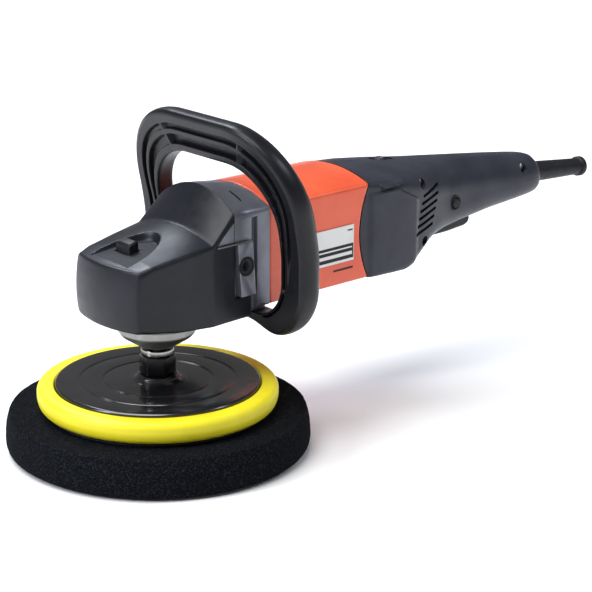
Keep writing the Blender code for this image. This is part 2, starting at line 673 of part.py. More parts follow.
def build_spindle_lock():
    rest = (LOCK_X, 0, 130.0)
    axis = axis_empty("spindle_lock_axis", rest)
    mesh_data = bmesh.new()
    flange = 1.6
    rings = []
    for z, inset, slope in ((135.0, -flange, 0), (136.0, -flange, 0), (136.0, 0, 0), (142.7, 0, 0.28),
                            (143.9, 1.2, 0.28)):
        low = (BUTTON_LOW[0] + inset, BUTTON_LOW[1] + inset)
        high = (BUTTON_HIGH[0] - inset, BUTTON_HIGH[1] - inset)
        corners = (low, (high[0], low[1]), high, (low[0], high[1]))
        rings.append([mesh_data.verts.new((x, y, z + slope * (x - BUTTON_LOW[0]))) for x, y in corners])
    bridge(mesh_data, rings)
    mesh_data.faces.new(rings[0])
    mesh_data.faces.new(rings[-1])
    finish("spindle_lock_button", mesh_data, material("button_black", (0.02, 0.02, 0.023), 0.45), rest, axis,
           smooth=False)
    steel = material("spindle_steel", (0.62, 0.62, 0.63), 0.25, 1.0)
    rod("spindle_lock_pin", 2.3, 120.2, 134.7, steel, centre=(LOCK_X, 0), steps=14, pivot=rest, parent=axis)
    coil("lock_spring", (LOCK_X, 0), 3.6, 0.4, 4, 124.8, 134.7,
         material("spring_steel", (0.55, 0.55, 0.56), 0.3, 1.0))


# ---------------------------------------------------------------- motor housing

def body_sections(x_values):
    """Motor-housing sections, nearly constant along the motor."""
    made = []
    for x in x_values:
        share = (x - 66.0) / 91.0
        made.append(Section(x, BODY_HALF_WIDTH, 90.5, RIDGE_LOW, RIDGE_HIGH, 170.4 - 2.2 * share, 2.5))
    return made


def build_motor_housing():
    orange = material("housing_orange", (0.78, 0.10, 0.035), 0.42)
    sections = body_sections((HOUSING_START, 110.0, 146.0, SEAM_X))
    mesh_data = bmesh.new()
    skins = []
    for wall in (0.0, SHELL_WALL):
        rings = [ring_at(section, wall) for section in sections[:-1]]
        rings.append(ring_at(sections[-1], wall, lambda y, z: seam_x(z) - GAP))
        skins.append([[mesh_data.verts.new(point) for point in ring] for ring in rings])
    for skin in skins:
        bridge(mesh_data, skin)
    bridge(mesh_data, [skins[0][0], skins[1][0]])
    bridge(mesh_data, [skins[0][-1], skins[1][-1]])
    housing = finish("motor_housing", mesh_data, orange)
    for index, (y, z) in enumerate(corner_posts()):
        join(housing, rod("housing_post_%d" % index, 4.6, 66.8, 88.0, None, "X",
                          (y * 1.02, z), 12))
    steel = material("screw_steel", (0.5, 0.5, 0.51), 0.35, 1.0)
    for index, (y, z) in enumerate(corner_posts()):
        cut(housing, rod("housing_post_bore_%d" % index, 2.5, 60, 92, None, "X", (y, z), 12))
        turned("housing_screw_%d" % (index + 1), [(0, 59.0), (2.1, 59.0), (2.1, 88.3), (3.6, 88.3),
                                                  (3.6, 91.0), (0, 91.0)], steel, "X", (y, z), 8)


def build_name_plate():
    low_x, high_x, low_z, high_z = 104.0, 142.0, 110.0, 135.5
    outline = [(low_x, low_z), (high_x, low_z), (high_x, high_z), (low_x, high_z)]
    outer = -BODY_HALF_WIDTH - GAP
    prism("rating_plate", outline, outer - 0.5, outer, material("plate_white", (0.8, 0.8, 0.78), 0.4), "Y",
          smooth=False)


# ---------------------------------------------------------------- rear handle

def handle_sections():
    return [body_sections([SEAM_X])[0],
            Section(176.0, 38.0, 89.4, 92.6, 158.6, 167.2, 3.5),
            Section(200.0, 37.2, 88.6, 91.2, 154.2, 164.6, 6.0),
            Section(214.0, 34.6, 95.0, 98.6, 150.6, 162.8, 8.0),
            Section(230.0, 30.0, 102.6, 106.0, 147.0, 160.8, 10.0),
            Section(250.0, 24.6, 104.8, 108.6, 145.6, 158.4, 11.5),
            Section(275.0, 21.0, 106.4, 110.2, 144.4, 155.2, 12.5),
            Section(305.0, 19.2, 109.2, 112.4, 142.6, 151.2, 13.0),
            Section(337.0, 18.4, 111.4, 114.0, 139.8, 146.6, 13.0),
            Section(354.0, 17.0, 112.6, 115.0, 138.2, 143.8, 12.0)]


def handle_end_sections():
    """Rounded end of the grip: outer ring, and the cord guard's round hole inside it."""
    outer = [Section(HANDLE_END - 2.5, 14.6, 114.0, 116.0, 136.4, 141.2, 10.8),
             Section(HANDLE_END, 11.6, 116.4, 117.6, 134.4, 138.2, 9.0)]
    hole = [Section(HANDLE_END - 5.0, 8.7, 118.9, 119.0, 136.2, 136.3, 8.2),
            Section(HANDLE_END, 8.7, 118.5, 118.6, 135.8, 135.9, 8.2)]
    return outer, hole


def handle_half(name, side, plastic):
    """Half the rear handle: a C-shaped section lofted along the grip, cut flat at y = 0."""
    outer_end, hole = handle_end_sections()
    outer_sections = handle_sections() + outer_end
    inner_sections = handle_sections() + hole
    walls = [SHELL_WALL] * len(handle_sections()) + [0.0] * len(hole)
    mesh_data = bmesh.new()
    rings = []
    for outer, inner, wall in zip(outer_sections, inner_sections, walls):
        edge = outer is outer_sections[0]
        ring = []
        for section, thickness, backwards in ((outer, 0.0, False), (inner, wall, True)):
            half = half_outline(section, thickness)
            if backwards:
                half = half[::-1]
            for y, z in half:
                x = seam_x(z) + GAP if edge else section.x
                ring.append(mesh_data.verts.new((x, side * max(y, GAP / 2), z)))
        rings.append(ring)
    bridge(mesh_data, rings)
    for ring in (rings[0], rings[-1]):
        last = len(ring) - 1
        for i in range(len(ring) // 2 - 1):
            mesh_data.faces.new((ring[i], ring[i + 1], ring[last - i - 1], ring[last - i]))
    return finish(name, mesh_data, plastic)


SCREW_PLACES = ((215.0, 149.5, 31.0), (217.0, 107.5, 32.0), (338.5, 136.8, 15.6))


def screw_post(half, name, side, x, z, reach):
    low, high = sorted((side * GAP / 2, side * (reach - 3.5)))
    join(half, rod(name, 4.2, low, high, None, "Y", (x, z), 14))


def vent_slots(label, side):
    """Six slanted slots, each climbing towards the rear."""
    made = []
    for index in range(6):
        centre_x = 225.0 - 1.8 * index
        centre_z = 143.0 - 5.3 * index
        slant = math.radians(9.5)
        outline = []
        for a, b in ((-11.7, -1.25), (11.7, -1.25), (11.7, 1.25), (-11.7, 1.25)):
            outline.append((centre_x + a * math.cos(slant) - b * math.sin(slant),
                            centre_z + a * math.sin(slant) + b * math.cos(slant)))
        low, high = sorted((side * 20.0, side * 45.0))
        made.append(prism("vent_%s_%d" % (label, index), outline, low, high, None, "Y", smooth=False))
    return made


def trigger_slot(name):
    return block(name, (236.5, -10.4, 90), (TRIGGER_TIP + 3.0, 10.4, 116), None)


def build_rear_handle():
    plastic = material("handle_plastic", (0.045, 0.047, 0.058), 0.55)
    for label, side in (("left", -1), ("right", 1)):
        half = handle_half("rear_handle_" + label, side, plastic)
        if side < 0:
            cut(half, rod("lock_on_hole", 4.2, -37.3, -13.1, None, "Y", (257.0, 126.5), 18))
        for index, (x, z, reach) in enumerate(SCREW_PLACES):
            screw_post(half, "screw_post_%s_%d" % (label, index), side, x, z, reach)
        cut(half, *vent_slots(label, side))
        cut(half, trigger_slot("trigger_slot_" + label))
        cut(half, block("dial_slot_" + label, (194.0, -4.2, 146.0), (214.0, 4.2, 175.0), None))
        for index, (x, z, reach) in enumerate(SCREW_PLACES):
            low, high = sorted((-reach, 12.0))
            cut(half, rod("screw_bore_%s_%d" % (label, index), 1.9, low, high, None, "Y", (x, z), 12))
            if side < 0:
                cut(half, rod("screw_recess_%d" % index, 3.7, -50, -reach + 6.0, None, "Y", (x, z), 16))
    steel = material("screw_steel", (0.5, 0.5, 0.51), 0.35, 1.0)
    for index, (x, z, reach) in enumerate(SCREW_PLACES):
        head = -reach + 6.0 - GAP
        turned("handle_screw_%d" % (index + 1), [(0, head - 2.4), (3.2, head - 2.4), (3.2, head), (1.6, head),
                                                 (1.6, 11.0), (0, 11.0)], steel, "Y", (x, z), 10)


def build_trigger():
    pivot = (240.0, 0, 112.0)
    axis = axis_empty("trigger_axis", pivot)
    outline = [(237.2, 109.5), (240.0, 101.8), (246.0, 100.0), (266.0, 100.2), (TRIGGER_TIP - 5, 101.6),
               (TRIGGER_TIP - 1, 103.4), (TRIGGER_TIP, 106.0), (TRIGGER_TIP, 115.6), (277.0, 117.0),
               (243.0, 117.0), (237.2, 114.0)]
    trigger = prism("trigger", outline, -9.8, 9.8, material("button_black", (0.02, 0.02, 0.023), 0.45), "Y",
                    pivot, axis)
    ease = trigger.modifiers.new("Eased edges", "BEVEL")
    ease.width = 1.2 * MM
    ease.segments = 1
    ease.limit_method = "ANGLE"
    coil("trigger_spring", (272.0, 0), 3.2, 0.45, 3, 117.3, 125.7,
         material("spring_steel", (0.55, 0.55, 0.56), 0.3, 1.0))


def build_switches():
    plastic = material("inner_plastic", (0.05, 0.05, 0.055), 0.6)
    block("switch_body", (250.0, -9.0, 126.0), (286.0, 9.0, 144.0), plastic, bevel=1.0)
    block("speed_module", (180.0, -20.0, 104.0), (200.0, 20.0, 124.0), plastic, bevel=1.0)
    pivot = (257.0, -24.0, 126.5)
    button_axis = axis_empty("lock_on_axis", pivot)
    black = material("button_black", (0.02, 0.02, 0.023), 0.45)
    turned("lock_on_button", [(0, -25.6), (2.9, -25.6), (3.7, -24.8), (3.7, -12.5), (0, -12.5)], black, "Y",
           (257.0, 126.5), 20, pivot, button_axis)
    dial_centre = (204.0, 0, 156.0)
    dial_axis = axis_empty("speed_dial_axis", dial_centre)
    outline = []
    for index in range(24):
        for radius, share in ((9.2, 0.0), (8.6, 0.5)):
            angle = math.tau * (index + share) / 24
            outline.append((dial_centre[0] + radius * math.cos(angle),
                            dial_centre[2] + radius * math.sin(angle)))
    prism("speed_dial", outline, -3.6, 3.6, black, "Y", dial_centre, dial_axis)


def build_cord_guard():
    """Rubber sleeve with a flared end, drooping slightly behind the grip, and the clamp inside."""
    rubber = material("guard_rubber", (0.02, 0.02, 0.022), 0.6)
    bore = 4.6
    profile = [(bore, 0), (10.5, 0), (10.5, 3.5), (7.9, 4.5), (7.9, 16.0), (6.3, 68.5), (7.6, 69.3),
               (7.6, 73.1), (6.8, 73.9), (bore, 73.9)]
    guard = turned("cord_guard", profile, rubber, "X", steps=24)
    guard.rotation_euler = (0, math.radians(5.0), 0)
    guard.location = Vector((HANDLE_END - 13.5, 0, 128.2)) * MM
    block("cord_clamp", (325.0, -10.0, 118.0), (331.5, 10.0, 121.5), rubber, bevel=0.6)


# ---------------------------------------------------------------- loop handle

def loop_front(z):
    """The front face stands upright along the legs and leans forward over the top."""
    return LOOP_FRONT - LOOP_LEAN * (max(z - 130.0, 0.0) / 70.0) ** 1.5


def loop_arch(point):
    """How far the underside of the bottom bar rises between the legs."""
    share = min(max((62.0 - abs(point.y)) / 34.0, 0.0), 1.0)
    low = min(max((LOOP_INNER_BOTTOM - point.z) / LOOP_BOTTOM_BAR, 0.0), 1.0)
    return LOOP_BOTTOM_RISE * low * share * share * (3 - 2 * share)


def loop_path(half_width, top, bottom, top_radius, bottom_radius):
    """Rounded rectangle in (y, z), with the same number of points whatever its size."""
    corners = ((half_width - top_radius, top - top_radius, top_radius, 90, 0),
               (half_width - bottom_radius, bottom + bottom_radius, bottom_radius, 0, -90),
               (-half_width + bottom_radius, bottom + bottom_radius, bottom_radius, -90, -180),
               (-half_width + top_radius, top - top_radius, top_radius, 180, 90))
    points = []
    for y, z, radius, start, end in corners:
        for index in range(9):
            angle = math.radians(start + (end - start) * index / 8)
            points.append(Vector((0, y + radius * math.cos(angle), z + radius * math.sin(angle))))
    return points


def build_loop_handle():
    inner = loop_path(LOOP_INNER_HALF_WIDTH, LOOP_INNER_TOP, LOOP_INNER_BOTTOM, 41.0, 26.0)
    outer = loop_path(LOOP_INNER_HALF_WIDTH + LOOP_LEG, LOOP_INNER_TOP + LOOP_TOP_BAR,
                      LOOP_INNER_BOTTOM - LOOP_BOTTOM_BAR, 56.0, 37.0)
    profile = ((0.0, 1.6), (0.08, 0.0), (0.84, 0.0), (0.96, 2.5), (1.0, 9.0), (0.95, 14.6), (0.8, 18.8),
               (0.58, LOOP_DEPTH), (0.26, 17.6), (0.05, 14.0), (0.0, 11.0))
    rings = []
    for near, far in zip(inner, outer):
        ring = []
        for share, depth in profile:
            point = near.lerp(far, share)
            point.z += loop_arch(point)
            point.x = loop_front(point.z) + depth
            ring.append(point)
        rings.append(ring)
    handle = loft("loop_handle", rings, material("loop_plastic", (0.02, 0.02, 0.024), 0.5), closed=True)
    steel = material("screw_steel", (0.5, 0.5, 0.51), 0.35, 1.0)
    for index, y in enumerate((-20.0, 20.0)):
        cut(handle, rod("loop_bolt_hole_%d" % index, 3.3, 70, 95, None, centre=(LOOP_BOLT_X, y), steps=14),
            rod("loop_bolt_recess_%d" % index, 5.3, 70, 87.0, None, centre=(LOOP_BOLT_X, y), steps=20))
        turned("loop_bolt_%d" % (index + 1), [(0, 84.0), (4.8, 84.0), (4.8, 86.7), (3.0, 86.7), (3.0, 97.5),
                                              (0, 97.5)], steel, "Z", (LOOP_BOLT_X, y), 10)


def main():
    clear_scene()
    spindle_axis = axis_empty("spindle_axis", (0, 0, 0))
    motor_pivot = (0, 0, MOTOR_Z)
    motor_axis = axis_empty("motor_axis", motor_pivot)
    build_pad(spindle_axis)
    build_backing_disc(spindle_axis)
    build_hub_nut(spindle_axis)
    build_spindle(spindle_axis)
    build_crown_gear(spindle_axis)
    build_pinion(motor_axis, motor_pivot)
    build_armature(motor_axis, motor_pivot)
    build_fan(motor_axis, motor_pivot)
    build_bearings()
    build_stator()
    build_brushes()
    build_bearing_box()
    build_gear_housing()
    build_head_cover()
    build_spindle_lock()
    build_motor_housing()
    build_name_plate()
    build_rear_handle()
    build_trigger()
    build_switches()
    build_cord_guard()
    build_loop_handle()


main()
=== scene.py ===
"""Looks of the rotary polisher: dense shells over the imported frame, materials, lights and camera."""
import math

import bmesh
import bpy
from mathutils import Matrix, Vector, noise


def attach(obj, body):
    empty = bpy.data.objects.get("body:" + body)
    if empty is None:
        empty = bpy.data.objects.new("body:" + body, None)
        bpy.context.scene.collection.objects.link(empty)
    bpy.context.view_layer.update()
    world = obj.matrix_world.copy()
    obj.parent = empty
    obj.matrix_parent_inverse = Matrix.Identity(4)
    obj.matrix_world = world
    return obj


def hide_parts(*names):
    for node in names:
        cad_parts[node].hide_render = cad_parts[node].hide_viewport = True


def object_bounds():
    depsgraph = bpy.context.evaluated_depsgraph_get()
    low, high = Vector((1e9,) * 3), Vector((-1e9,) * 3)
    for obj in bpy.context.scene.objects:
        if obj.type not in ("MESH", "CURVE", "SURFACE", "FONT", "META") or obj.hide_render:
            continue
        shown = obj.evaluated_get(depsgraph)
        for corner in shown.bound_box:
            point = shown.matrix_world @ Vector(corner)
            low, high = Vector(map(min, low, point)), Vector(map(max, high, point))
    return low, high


MM = 0.001
MOTOR_Z = 125.0
SEAM_X = 157.0
RIDGE_LOW = 94.0
RIDGE_HIGH = 161.0
HANDLE_END = 361.5
SHELL_WALL = 3.0

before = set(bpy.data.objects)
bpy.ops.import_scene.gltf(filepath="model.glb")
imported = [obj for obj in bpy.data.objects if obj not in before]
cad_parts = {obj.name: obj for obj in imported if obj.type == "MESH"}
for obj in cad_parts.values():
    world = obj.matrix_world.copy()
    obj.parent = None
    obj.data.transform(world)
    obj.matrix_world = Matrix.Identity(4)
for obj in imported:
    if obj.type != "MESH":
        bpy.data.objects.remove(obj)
CAD_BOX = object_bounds()
MATERIALS = {}


# ---------------------------------------------------------------- camera, floor and lights

CAMERA_PLACE = (-0.8679, -1.0968, 0.5535)
CAMERA_FORWARD = (0.63854, 0.70610, -0.30610)
CAMERA_RIGHT = (0.74282, -0.66948, 0.00522)
CAMERA_LENS = 135.09
FLOOR_HALF = 6.0
FLOOR_GAP = 0.0005
PANEL_TINT = (0.84, 0.89, 1.0)


def build_stage():
    scene = bpy.context.scene
    data = bpy.data.cameras.new("camera")
    data.sensor_width = 36.0
    data.lens = CAMERA_LENS
    data.clip_end = 50.0
    camera = bpy.data.objects.new("camera", data)
    scene.collection.objects.link(camera)
    forward = Vector(CAMERA_FORWARD).normalized()
    right = Vector(CAMERA_RIGHT).normalized()
    up = right.cross(forward)
    turn = Matrix((right, up, -forward)).transposed()
    camera.matrix_world = Matrix.Translation(CAMERA_PLACE) @ turn.to_4x4()
    scene.camera = camera

    floor_mesh = bpy.data.meshes.new("floor")
    corners = [(a * FLOOR_HALF, b * FLOOR_HALF, 0) for a, b in ((-1, -1), (1, -1), (1, 1), (-1, 1))]
    floor_mesh.from_pydata(corners, [], [(0, 1, 2, 3)])
    floor = bpy.data.objects.new("floor", floor_mesh)
    scene.collection.objects.link(floor)
    floor.location.z = CAD_BOX[0].z - FLOOR_GAP
    paint, tree, shader = new_material("floor_paper")
    shader.inputs["Roughness"].default_value = 0.7
    colour_noise(tree, shader, (0.90, 0.90, 0.90), (0.94, 0.94, 0.94), 3.0)
    floor_mesh.materials.append(paint)

    world = bpy.data.worlds.new("studio")
    world.use_nodes = True
    backdrop = world.node_tree.nodes["Background"]
    backdrop.inputs["Color"].default_value = (1, 1, 1, 1)
    backdrop.inputs["Strength"].default_value = 0.21
    scene.world = world
    scene.view_settings.view_transform = "Standard"
    sun = bpy.data.lights.new("sky_panel", "SUN")
    sun.energy = 2.85
    sun.angle = math.radians(45)
    panel = bpy.data.objects.new("sky_panel", sun)
    scene.collection.objects.link(panel)
    panel.rotation_euler = Vector((0.35, -0.05, -1.0)).to_track_quat("-Z", "Y").to_euler()
    softbox("nose_light", (-1.5, 0.35, 0.9), (-0.02, 0.0, 0.12), 0.5, 16)
    softbox("rear_light", (1.0, -0.9, 1.3), (0.25, 0.0, 0.13), 0.35, 5.5)
    softbox("top_light", (0.3, 0.9, 1.3), (0.1, 0.0, 0.15), 0.5, 12)


def softbox(name, place, target, size, power):
    data = bpy.data.lights.new(name, "AREA")
    data.shape = "DISK"
    data.size = size
    data.energy = power
    data.color = PANEL_TINT
    lamp = bpy.data.objects.new(name, data)
    bpy.context.scene.collection.objects.link(lamp)
    lamp.location = place
    lamp.rotation_euler = (Vector(target) - Vector(place)).to_track_quat("-Z", "Y").to_euler()


# ---------------------------------------------------------------- materials

def new_material(name):
    made = bpy.data.materials.new(name)
    made.use_nodes = True
    tree = made.node_tree
    return made, tree, tree.nodes["Principled BSDF"]


def object_coordinates(tree, stretch=(1, 1, 1)):
    source = tree.nodes.new("ShaderNodeTexCoord")
    mapping = tree.nodes.new("ShaderNodeMapping")
    mapping.inputs["Scale"].default_value = stretch
    tree.links.new(source.outputs["Object"], mapping.inputs["Vector"])
    return mapping.outputs["Vector"]


def noise_node(tree, scale, detail=3.0, stretch=(1, 1, 1)):
    made = tree.nodes.new("ShaderNodeTexNoise")
    made.inputs["Scale"].default_value = scale
    made.inputs["Detail"].default_value = detail
    tree.links.new(object_coordinates(tree, stretch), made.inputs["Vector"])
    return made


def ramp(tree, factor, stops):
    made = tree.nodes.new("ShaderNodeValToRGB")
    band = made.color_ramp
    while len(band.elements) < len(stops):
        band.elements.new(0.5)
    for element, (place, colour) in zip(band.elements, stops):
        element.position = place
        element.color = (*colour, 1.0)
    tree.links.new(factor, made.inputs["Fac"])
    return made.outputs["Color"]


def colour_noise(tree, shader, dark, light, scale, stretch=(1, 1, 1)):
    patches = noise_node(tree, scale, 4.0, stretch)
    colour = ramp(tree, patches.outputs["Fac"], ((0.3, dark), (0.7, light)))
    tree.links.new(colour, shader.inputs["Base Color"])


def roughness_noise(tree, shader, low, high, scale, stretch=(1, 1, 1)):
    smudges = noise_node(tree, scale, 3.0, stretch)
    reach = tree.nodes.new("ShaderNodeMapRange")
    reach.inputs["From Min"].default_value = 0.3
    reach.inputs["From Max"].default_value = 0.7
    reach.inputs["To Min"].default_value = low
    reach.inputs["To Max"].default_value = high
    tree.links.new(smudges.outputs["Fac"], reach.inputs["Value"])
    tree.links.new(reach.outputs["Result"], shader.inputs["Roughness"])


def bump(tree, shader, height, strength, distance):
    made = tree.nodes.new("ShaderNodeBump")
    made.inputs["Strength"].default_value = strength
    made.inputs["Distance"].default_value = distance
    tree.links.new(height, made.inputs["Height"])
    tree.links.new(made.outputs["Normal"], shader.inputs["Normal"])


def moulded(name, dark, light, low, high, grain=1100.0, relief=0.00011, coat=0.0, metallic=0.0,
            specular=0.5):
    """Moulded or painted part: slow colour drift, smudged gloss and a fine spark-eroded grain."""
    made, tree, shader = new_material(name)
    shader.inputs["Metallic"].default_value = metallic
    shader.inputs["Specular IOR Level"].default_value = specular
    shader.inputs["Coat Weight"].default_value = coat
    shader.inputs["Coat Roughness"].default_value = 0.2
    colour_noise(tree, shader, dark, light, 45.0)
    roughness_noise(tree, shader, low, high, 160.0)
    grains = noise_node(tree, grain, 2.0)
    bump(tree, shader, grains.outputs["Fac"], 0.35, relief)
    MATERIALS[name] = made


def machined(name, dark, light, low, high, stretch=(1, 1, 14), scale=220.0):
    """Metal with fine turning or drawing marks."""
    made, tree, shader = new_material(name)
    shader.inputs["Metallic"].default_value = 1.0
    colour_noise(tree, shader, dark, light, 60.0, stretch)
    roughness_noise(tree, shader, low, high, scale, stretch)
    marks = noise_node(tree, scale * 3, 2.0, stretch)
    bump(tree, shader, marks.outputs["Fac"], 0.3, 0.00005)
    MATERIALS[name] = made


def foam(name):
    """Open-cell foam: dark cell mouths in a slightly lighter web."""
    made, tree, shader = new_material(name)
    shader.inputs["Roughness"].default_value = 0.95
    shader.inputs["Specular IOR Level"].default_value = 0.04
    cells = tree.nodes.new("ShaderNodeTexVoronoi")
    cells.inputs["Scale"].default_value = 900.0
    tree.links.new(object_coordinates(tree), cells.inputs["Vector"])
    colour = ramp(tree, cells.outputs["Distance"],
                  ((0.15, (0.0015, 0.0015, 0.002)), (0.55, (0.006, 0.007, 0.009)),
                   (0.9, (0.016, 0.018, 0.023))))
    tree.links.new(colour, shader.inputs["Base Color"])
    bump(tree, shader, cells.outputs["Distance"], 0.8, 0.0006)
    MATERIALS[name] = made


def woven(name):
    """Hook-and-loop fabric: short crossed threads."""
    made, tree, shader = new_material(name)
    shader.inputs["Roughness"].default_value = 0.9
    threads = tree.nodes.new("ShaderNodeTexWave")
    threads.inputs["Scale"].default_value = 420.0
    threads.inputs["Distortion"].default_value = 6.0
    threads.inputs["Detail"].default_value = 2.0
    tree.links.new(object_coordinates(tree), threads.inputs["Vector"])
    colour = ramp(tree, threads.outputs["Fac"], ((0.2, (0.010, 0.010, 0.012)), (0.8, (0.05, 0.05, 0.055))))
    tree.links.new(colour, shader.inputs["Base Color"])
    bump(tree, shader, threads.outputs["Fac"], 0.6, 0.0003)
    MATERIALS[name] = made


def build_materials():
    slots = {name: node.data.materials[0].name for name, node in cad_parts.items()}
    for old in list(bpy.data.materials):
        bpy.data.materials.remove(old)
    moulded("head_plastic", (0.006, 0.007, 0.010), (0.011, 0.012, 0.018), 0.31, 0.41, specular=0.30)
    moulded("handle_plastic", (0.018, 0.020, 0.031), (0.030, 0.032, 0.046), 0.34, 0.44, specular=0.32)
    moulded("loop_plastic", (0.004, 0.004, 0.006), (0.009, 0.009, 0.012), 0.30, 0.40, relief=0.00005,
            specular=0.3)
    moulded("button_black", (0.006, 0.006, 0.007), (0.011, 0.011, 0.013), 0.34, 0.44, specular=0.25)
    moulded("housing_orange", (0.74, 0.085, 0.026), (0.84, 0.115, 0.038), 0.30, 0.38, relief=0.00003,
            coat=0.25)
    moulded("rim_yellow", (0.84, 0.72, 0.010), (0.93, 0.82, 0.022), 0.42, 0.52, relief=0.00004)
    moulded("disc_black", (0.006, 0.006, 0.007), (0.011, 0.011, 0.013), 0.12, 0.20, grain=500.0,
            relief=0.00002, specular=0.9)
    moulded("nut_black", (0.008, 0.008, 0.009), (0.016, 0.016, 0.018), 0.18, 0.30, metallic=0.6)
    moulded("cast_grey", (0.150, 0.155, 0.185), (0.210, 0.215, 0.250), 0.34, 0.46, grain=900.0,
            relief=0.0001, metallic=0.55)
    moulded("cast_silver", (0.24, 0.24, 0.24), (0.38, 0.38, 0.38), 0.36, 0.48, grain=700.0,
            relief=0.00008, metallic=1.0)
    moulded("guard_rubber", (0.006, 0.006, 0.008), (0.012, 0.012, 0.015), 0.42, 0.54, specular=0.25)
    moulded("inner_plastic", (0.040, 0.040, 0.044), (0.060, 0.060, 0.066), 0.5, 0.65)
    moulded("fan_plastic", (0.020, 0.020, 0.022), (0.040, 0.040, 0.044), 0.5, 0.65)
    moulded("carbon", (0.010, 0.010, 0.010), (0.030, 0.030, 0.030), 0.5, 0.7)
    moulded("plate_white", (0.72, 0.72, 0.70), (0.82, 0.82, 0.80), 0.30, 0.40, relief=0.00002)
    machined("spindle_steel", (0.30, 0.29, 0.28), (0.48, 0.47, 0.46), 0.18, 0.30)
    machined("gear_steel", (0.36, 0.36, 0.36), (0.52, 0.52, 0.52), 0.25, 0.40)
    machined("bearing_steel", (0.55, 0.55, 0.55), (0.72, 0.72, 0.72), 0.15, 0.28)
    machined("screw_steel", (0.32, 0.32, 0.33), (0.52, 0.52, 0.53), 0.25, 0.40)
    machined("spring_steel", (0.45, 0.45, 0.46), (0.62, 0.62, 0.63), 0.25, 0.35)
    machined("laminations", (0.25, 0.25, 0.26), (0.42, 0.42, 0.43), 0.35, 0.50, (20, 1, 1))
    machined("copper", (0.62, 0.24, 0.10), (0.80, 0.36, 0.18), 0.25, 0.38, (1, 10, 1))
    machined("brass", (0.62, 0.46, 0.16), (0.78, 0.60, 0.26), 0.22, 0.36)
    foam("pad_foam")
    woven("hook_fabric")
    for name, slot in slots.items():
        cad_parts[name].data.materials[0] = MATERIALS[slot]


# ---------------------------------------------------------------- mesh building (millimetres)

def finish_piece(name, mesh_data, body, slot, replaced=(), sharp=34):
    bmesh.ops.recalc_face_normals(mesh_data, faces=mesh_data.faces)
    bmesh.ops.scale(mesh_data, verts=mesh_data.verts, vec=(MM, MM, MM))
    mesh = bpy.data.meshes.new(name)
    mesh_data.to_mesh(mesh)
    mesh_data.free()
    made = bpy.data.objects.new(name, mesh)
    bpy.context.scene.collection.objects.link(made)
    mesh.materials.append(MATERIALS[slot])
    smooth(mesh, sharp)
    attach(made, body)
    if replaced:
        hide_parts(*replaced)
    return made


def smooth(mesh, sharp):
    mesh.shade_smooth()
    mesh.set_sharp_from_angle(angle=math.radians(sharp))


def lift(a, b, height, axis):
    if axis == "X":
        return Vector((height, a, b))
    if axis == "Y":
        return Vector((a, height, b))
    return Vector((a, b, height))


def eased(profile, radius, steps=4):
    """Round the corners of a closed outline; points on the turning axis stay."""
    points = []
    count = len(profile)
    for index in range(count):
        here = Vector(profile[index])
        if here.x < 1e-6:
            points.append(here)
            continue
        before = Vector(profile[index - 1]) - here
        after = Vector(profile[(index + 1) % count]) - here
        reach = min(radius, before.length * 0.45, after.length * 0.45)
        start = here + before.normalized() * reach
        end = here + after.normalized() * reach
        for step in range(steps + 1):
            t = step / steps
            points.append(start * (1 - t) ** 2 + here * (2 * t * (1 - t)) + end * t ** 2)
    return points


def turned_mesh(profile, axis="Z", centre=(0, 0), steps=128):
    mesh_data = bmesh.new()
    rings = []
    for radius, height in profile:
        if radius < 1e-6:
            rings.append([mesh_data.verts.new(lift(*centre, height, axis))])
            continue
        rings.append([mesh_data.verts.new(lift(centre[0] + radius * math.cos(math.tau * i / steps),
                                               centre[1] + radius * math.sin(math.tau * i / steps),
                                               height, axis)) for i in range(steps)])
    for index, first in enumerate(rings):
        second = rings[(index + 1) % len(rings)]
        for i in range(steps):
            j = (i + 1) % steps
            corners = [first[i % len(first)], first[j % len(first)],
                       second[j % len(second)], second[i % len(second)]]
            unique = list(dict.fromkeys(corners))
            if len(unique) > 2:
                mesh_data.faces.new(unique)
    return mesh_data


def bridge(mesh_data, rings):
    count = len(rings[0])
    for first, second in zip(rings, rings[1:]):
        for i in range(count):
            j = (i + 1) % count
            mesh_data.faces.new((first[i], first[j], second[j], second[i]))


def tool(name, outline, low, high, axis="Z"):
    """Closed prism for a hole or recess that is cut out of a part."""
    mesh_data = bmesh.new()
    lower = [mesh_data.verts.new(lift(a, b, low, axis) * MM) for a, b in outline]
    upper = [mesh_data.verts.new(lift(a, b, high, axis) * MM) for a, b in outline]
    bridge(mesh_data, [lower, upper])
    mesh_data.faces.new(lower)
    mesh_data.faces.new(upper)
    bmesh.ops.recalc_face_normals(mesh_data, faces=mesh_data.faces)
    mesh = bpy.data.meshes.new(name)
    mesh_data.to_mesh(mesh)
    mesh_data.free()
    made = bpy.data.objects.new(name, mesh)
    bpy.context.scene.collection.objects.link(made)
    return made


def box_tool(name, low, high):
    outline = [(low[0], low[1]), (high[0], low[1]), (high[0], high[1]), (low[0], high[1])]
    return tool(name, outline, low[2], high[2])


def rod_tool(name, radius, low, high, axis, centre, steps=40):
    outline = [(centre[0] + radius * math.cos(math.tau * i / steps),
                centre[1] + radius * math.sin(math.tau * i / steps)) for i in range(steps)]
    return tool(name, outline, low, high, axis)


def carve(target, tools, sharp=34):
    """Cut the holes and recesses out of a part."""
    for cutter in tools:
        change = target.modifiers.new(cutter.name, "BOOLEAN")
        change.operation = "DIFFERENCE"
        change.solver = "EXACT"
        change.object = cutter
    settle(target, sharp)
    for cutter in tools:
        bpy.data.objects.remove(cutter, do_unlink=True)


def settle(target, sharp):
    """Keep the finished shape as plain mesh."""
    graph = bpy.context.evaluated_depsgraph_get()
    mesh = bpy.data.meshes.new_from_object(target.evaluated_get(graph))
    target.modifiers.clear()
    target.data = mesh
    smooth(mesh, sharp)


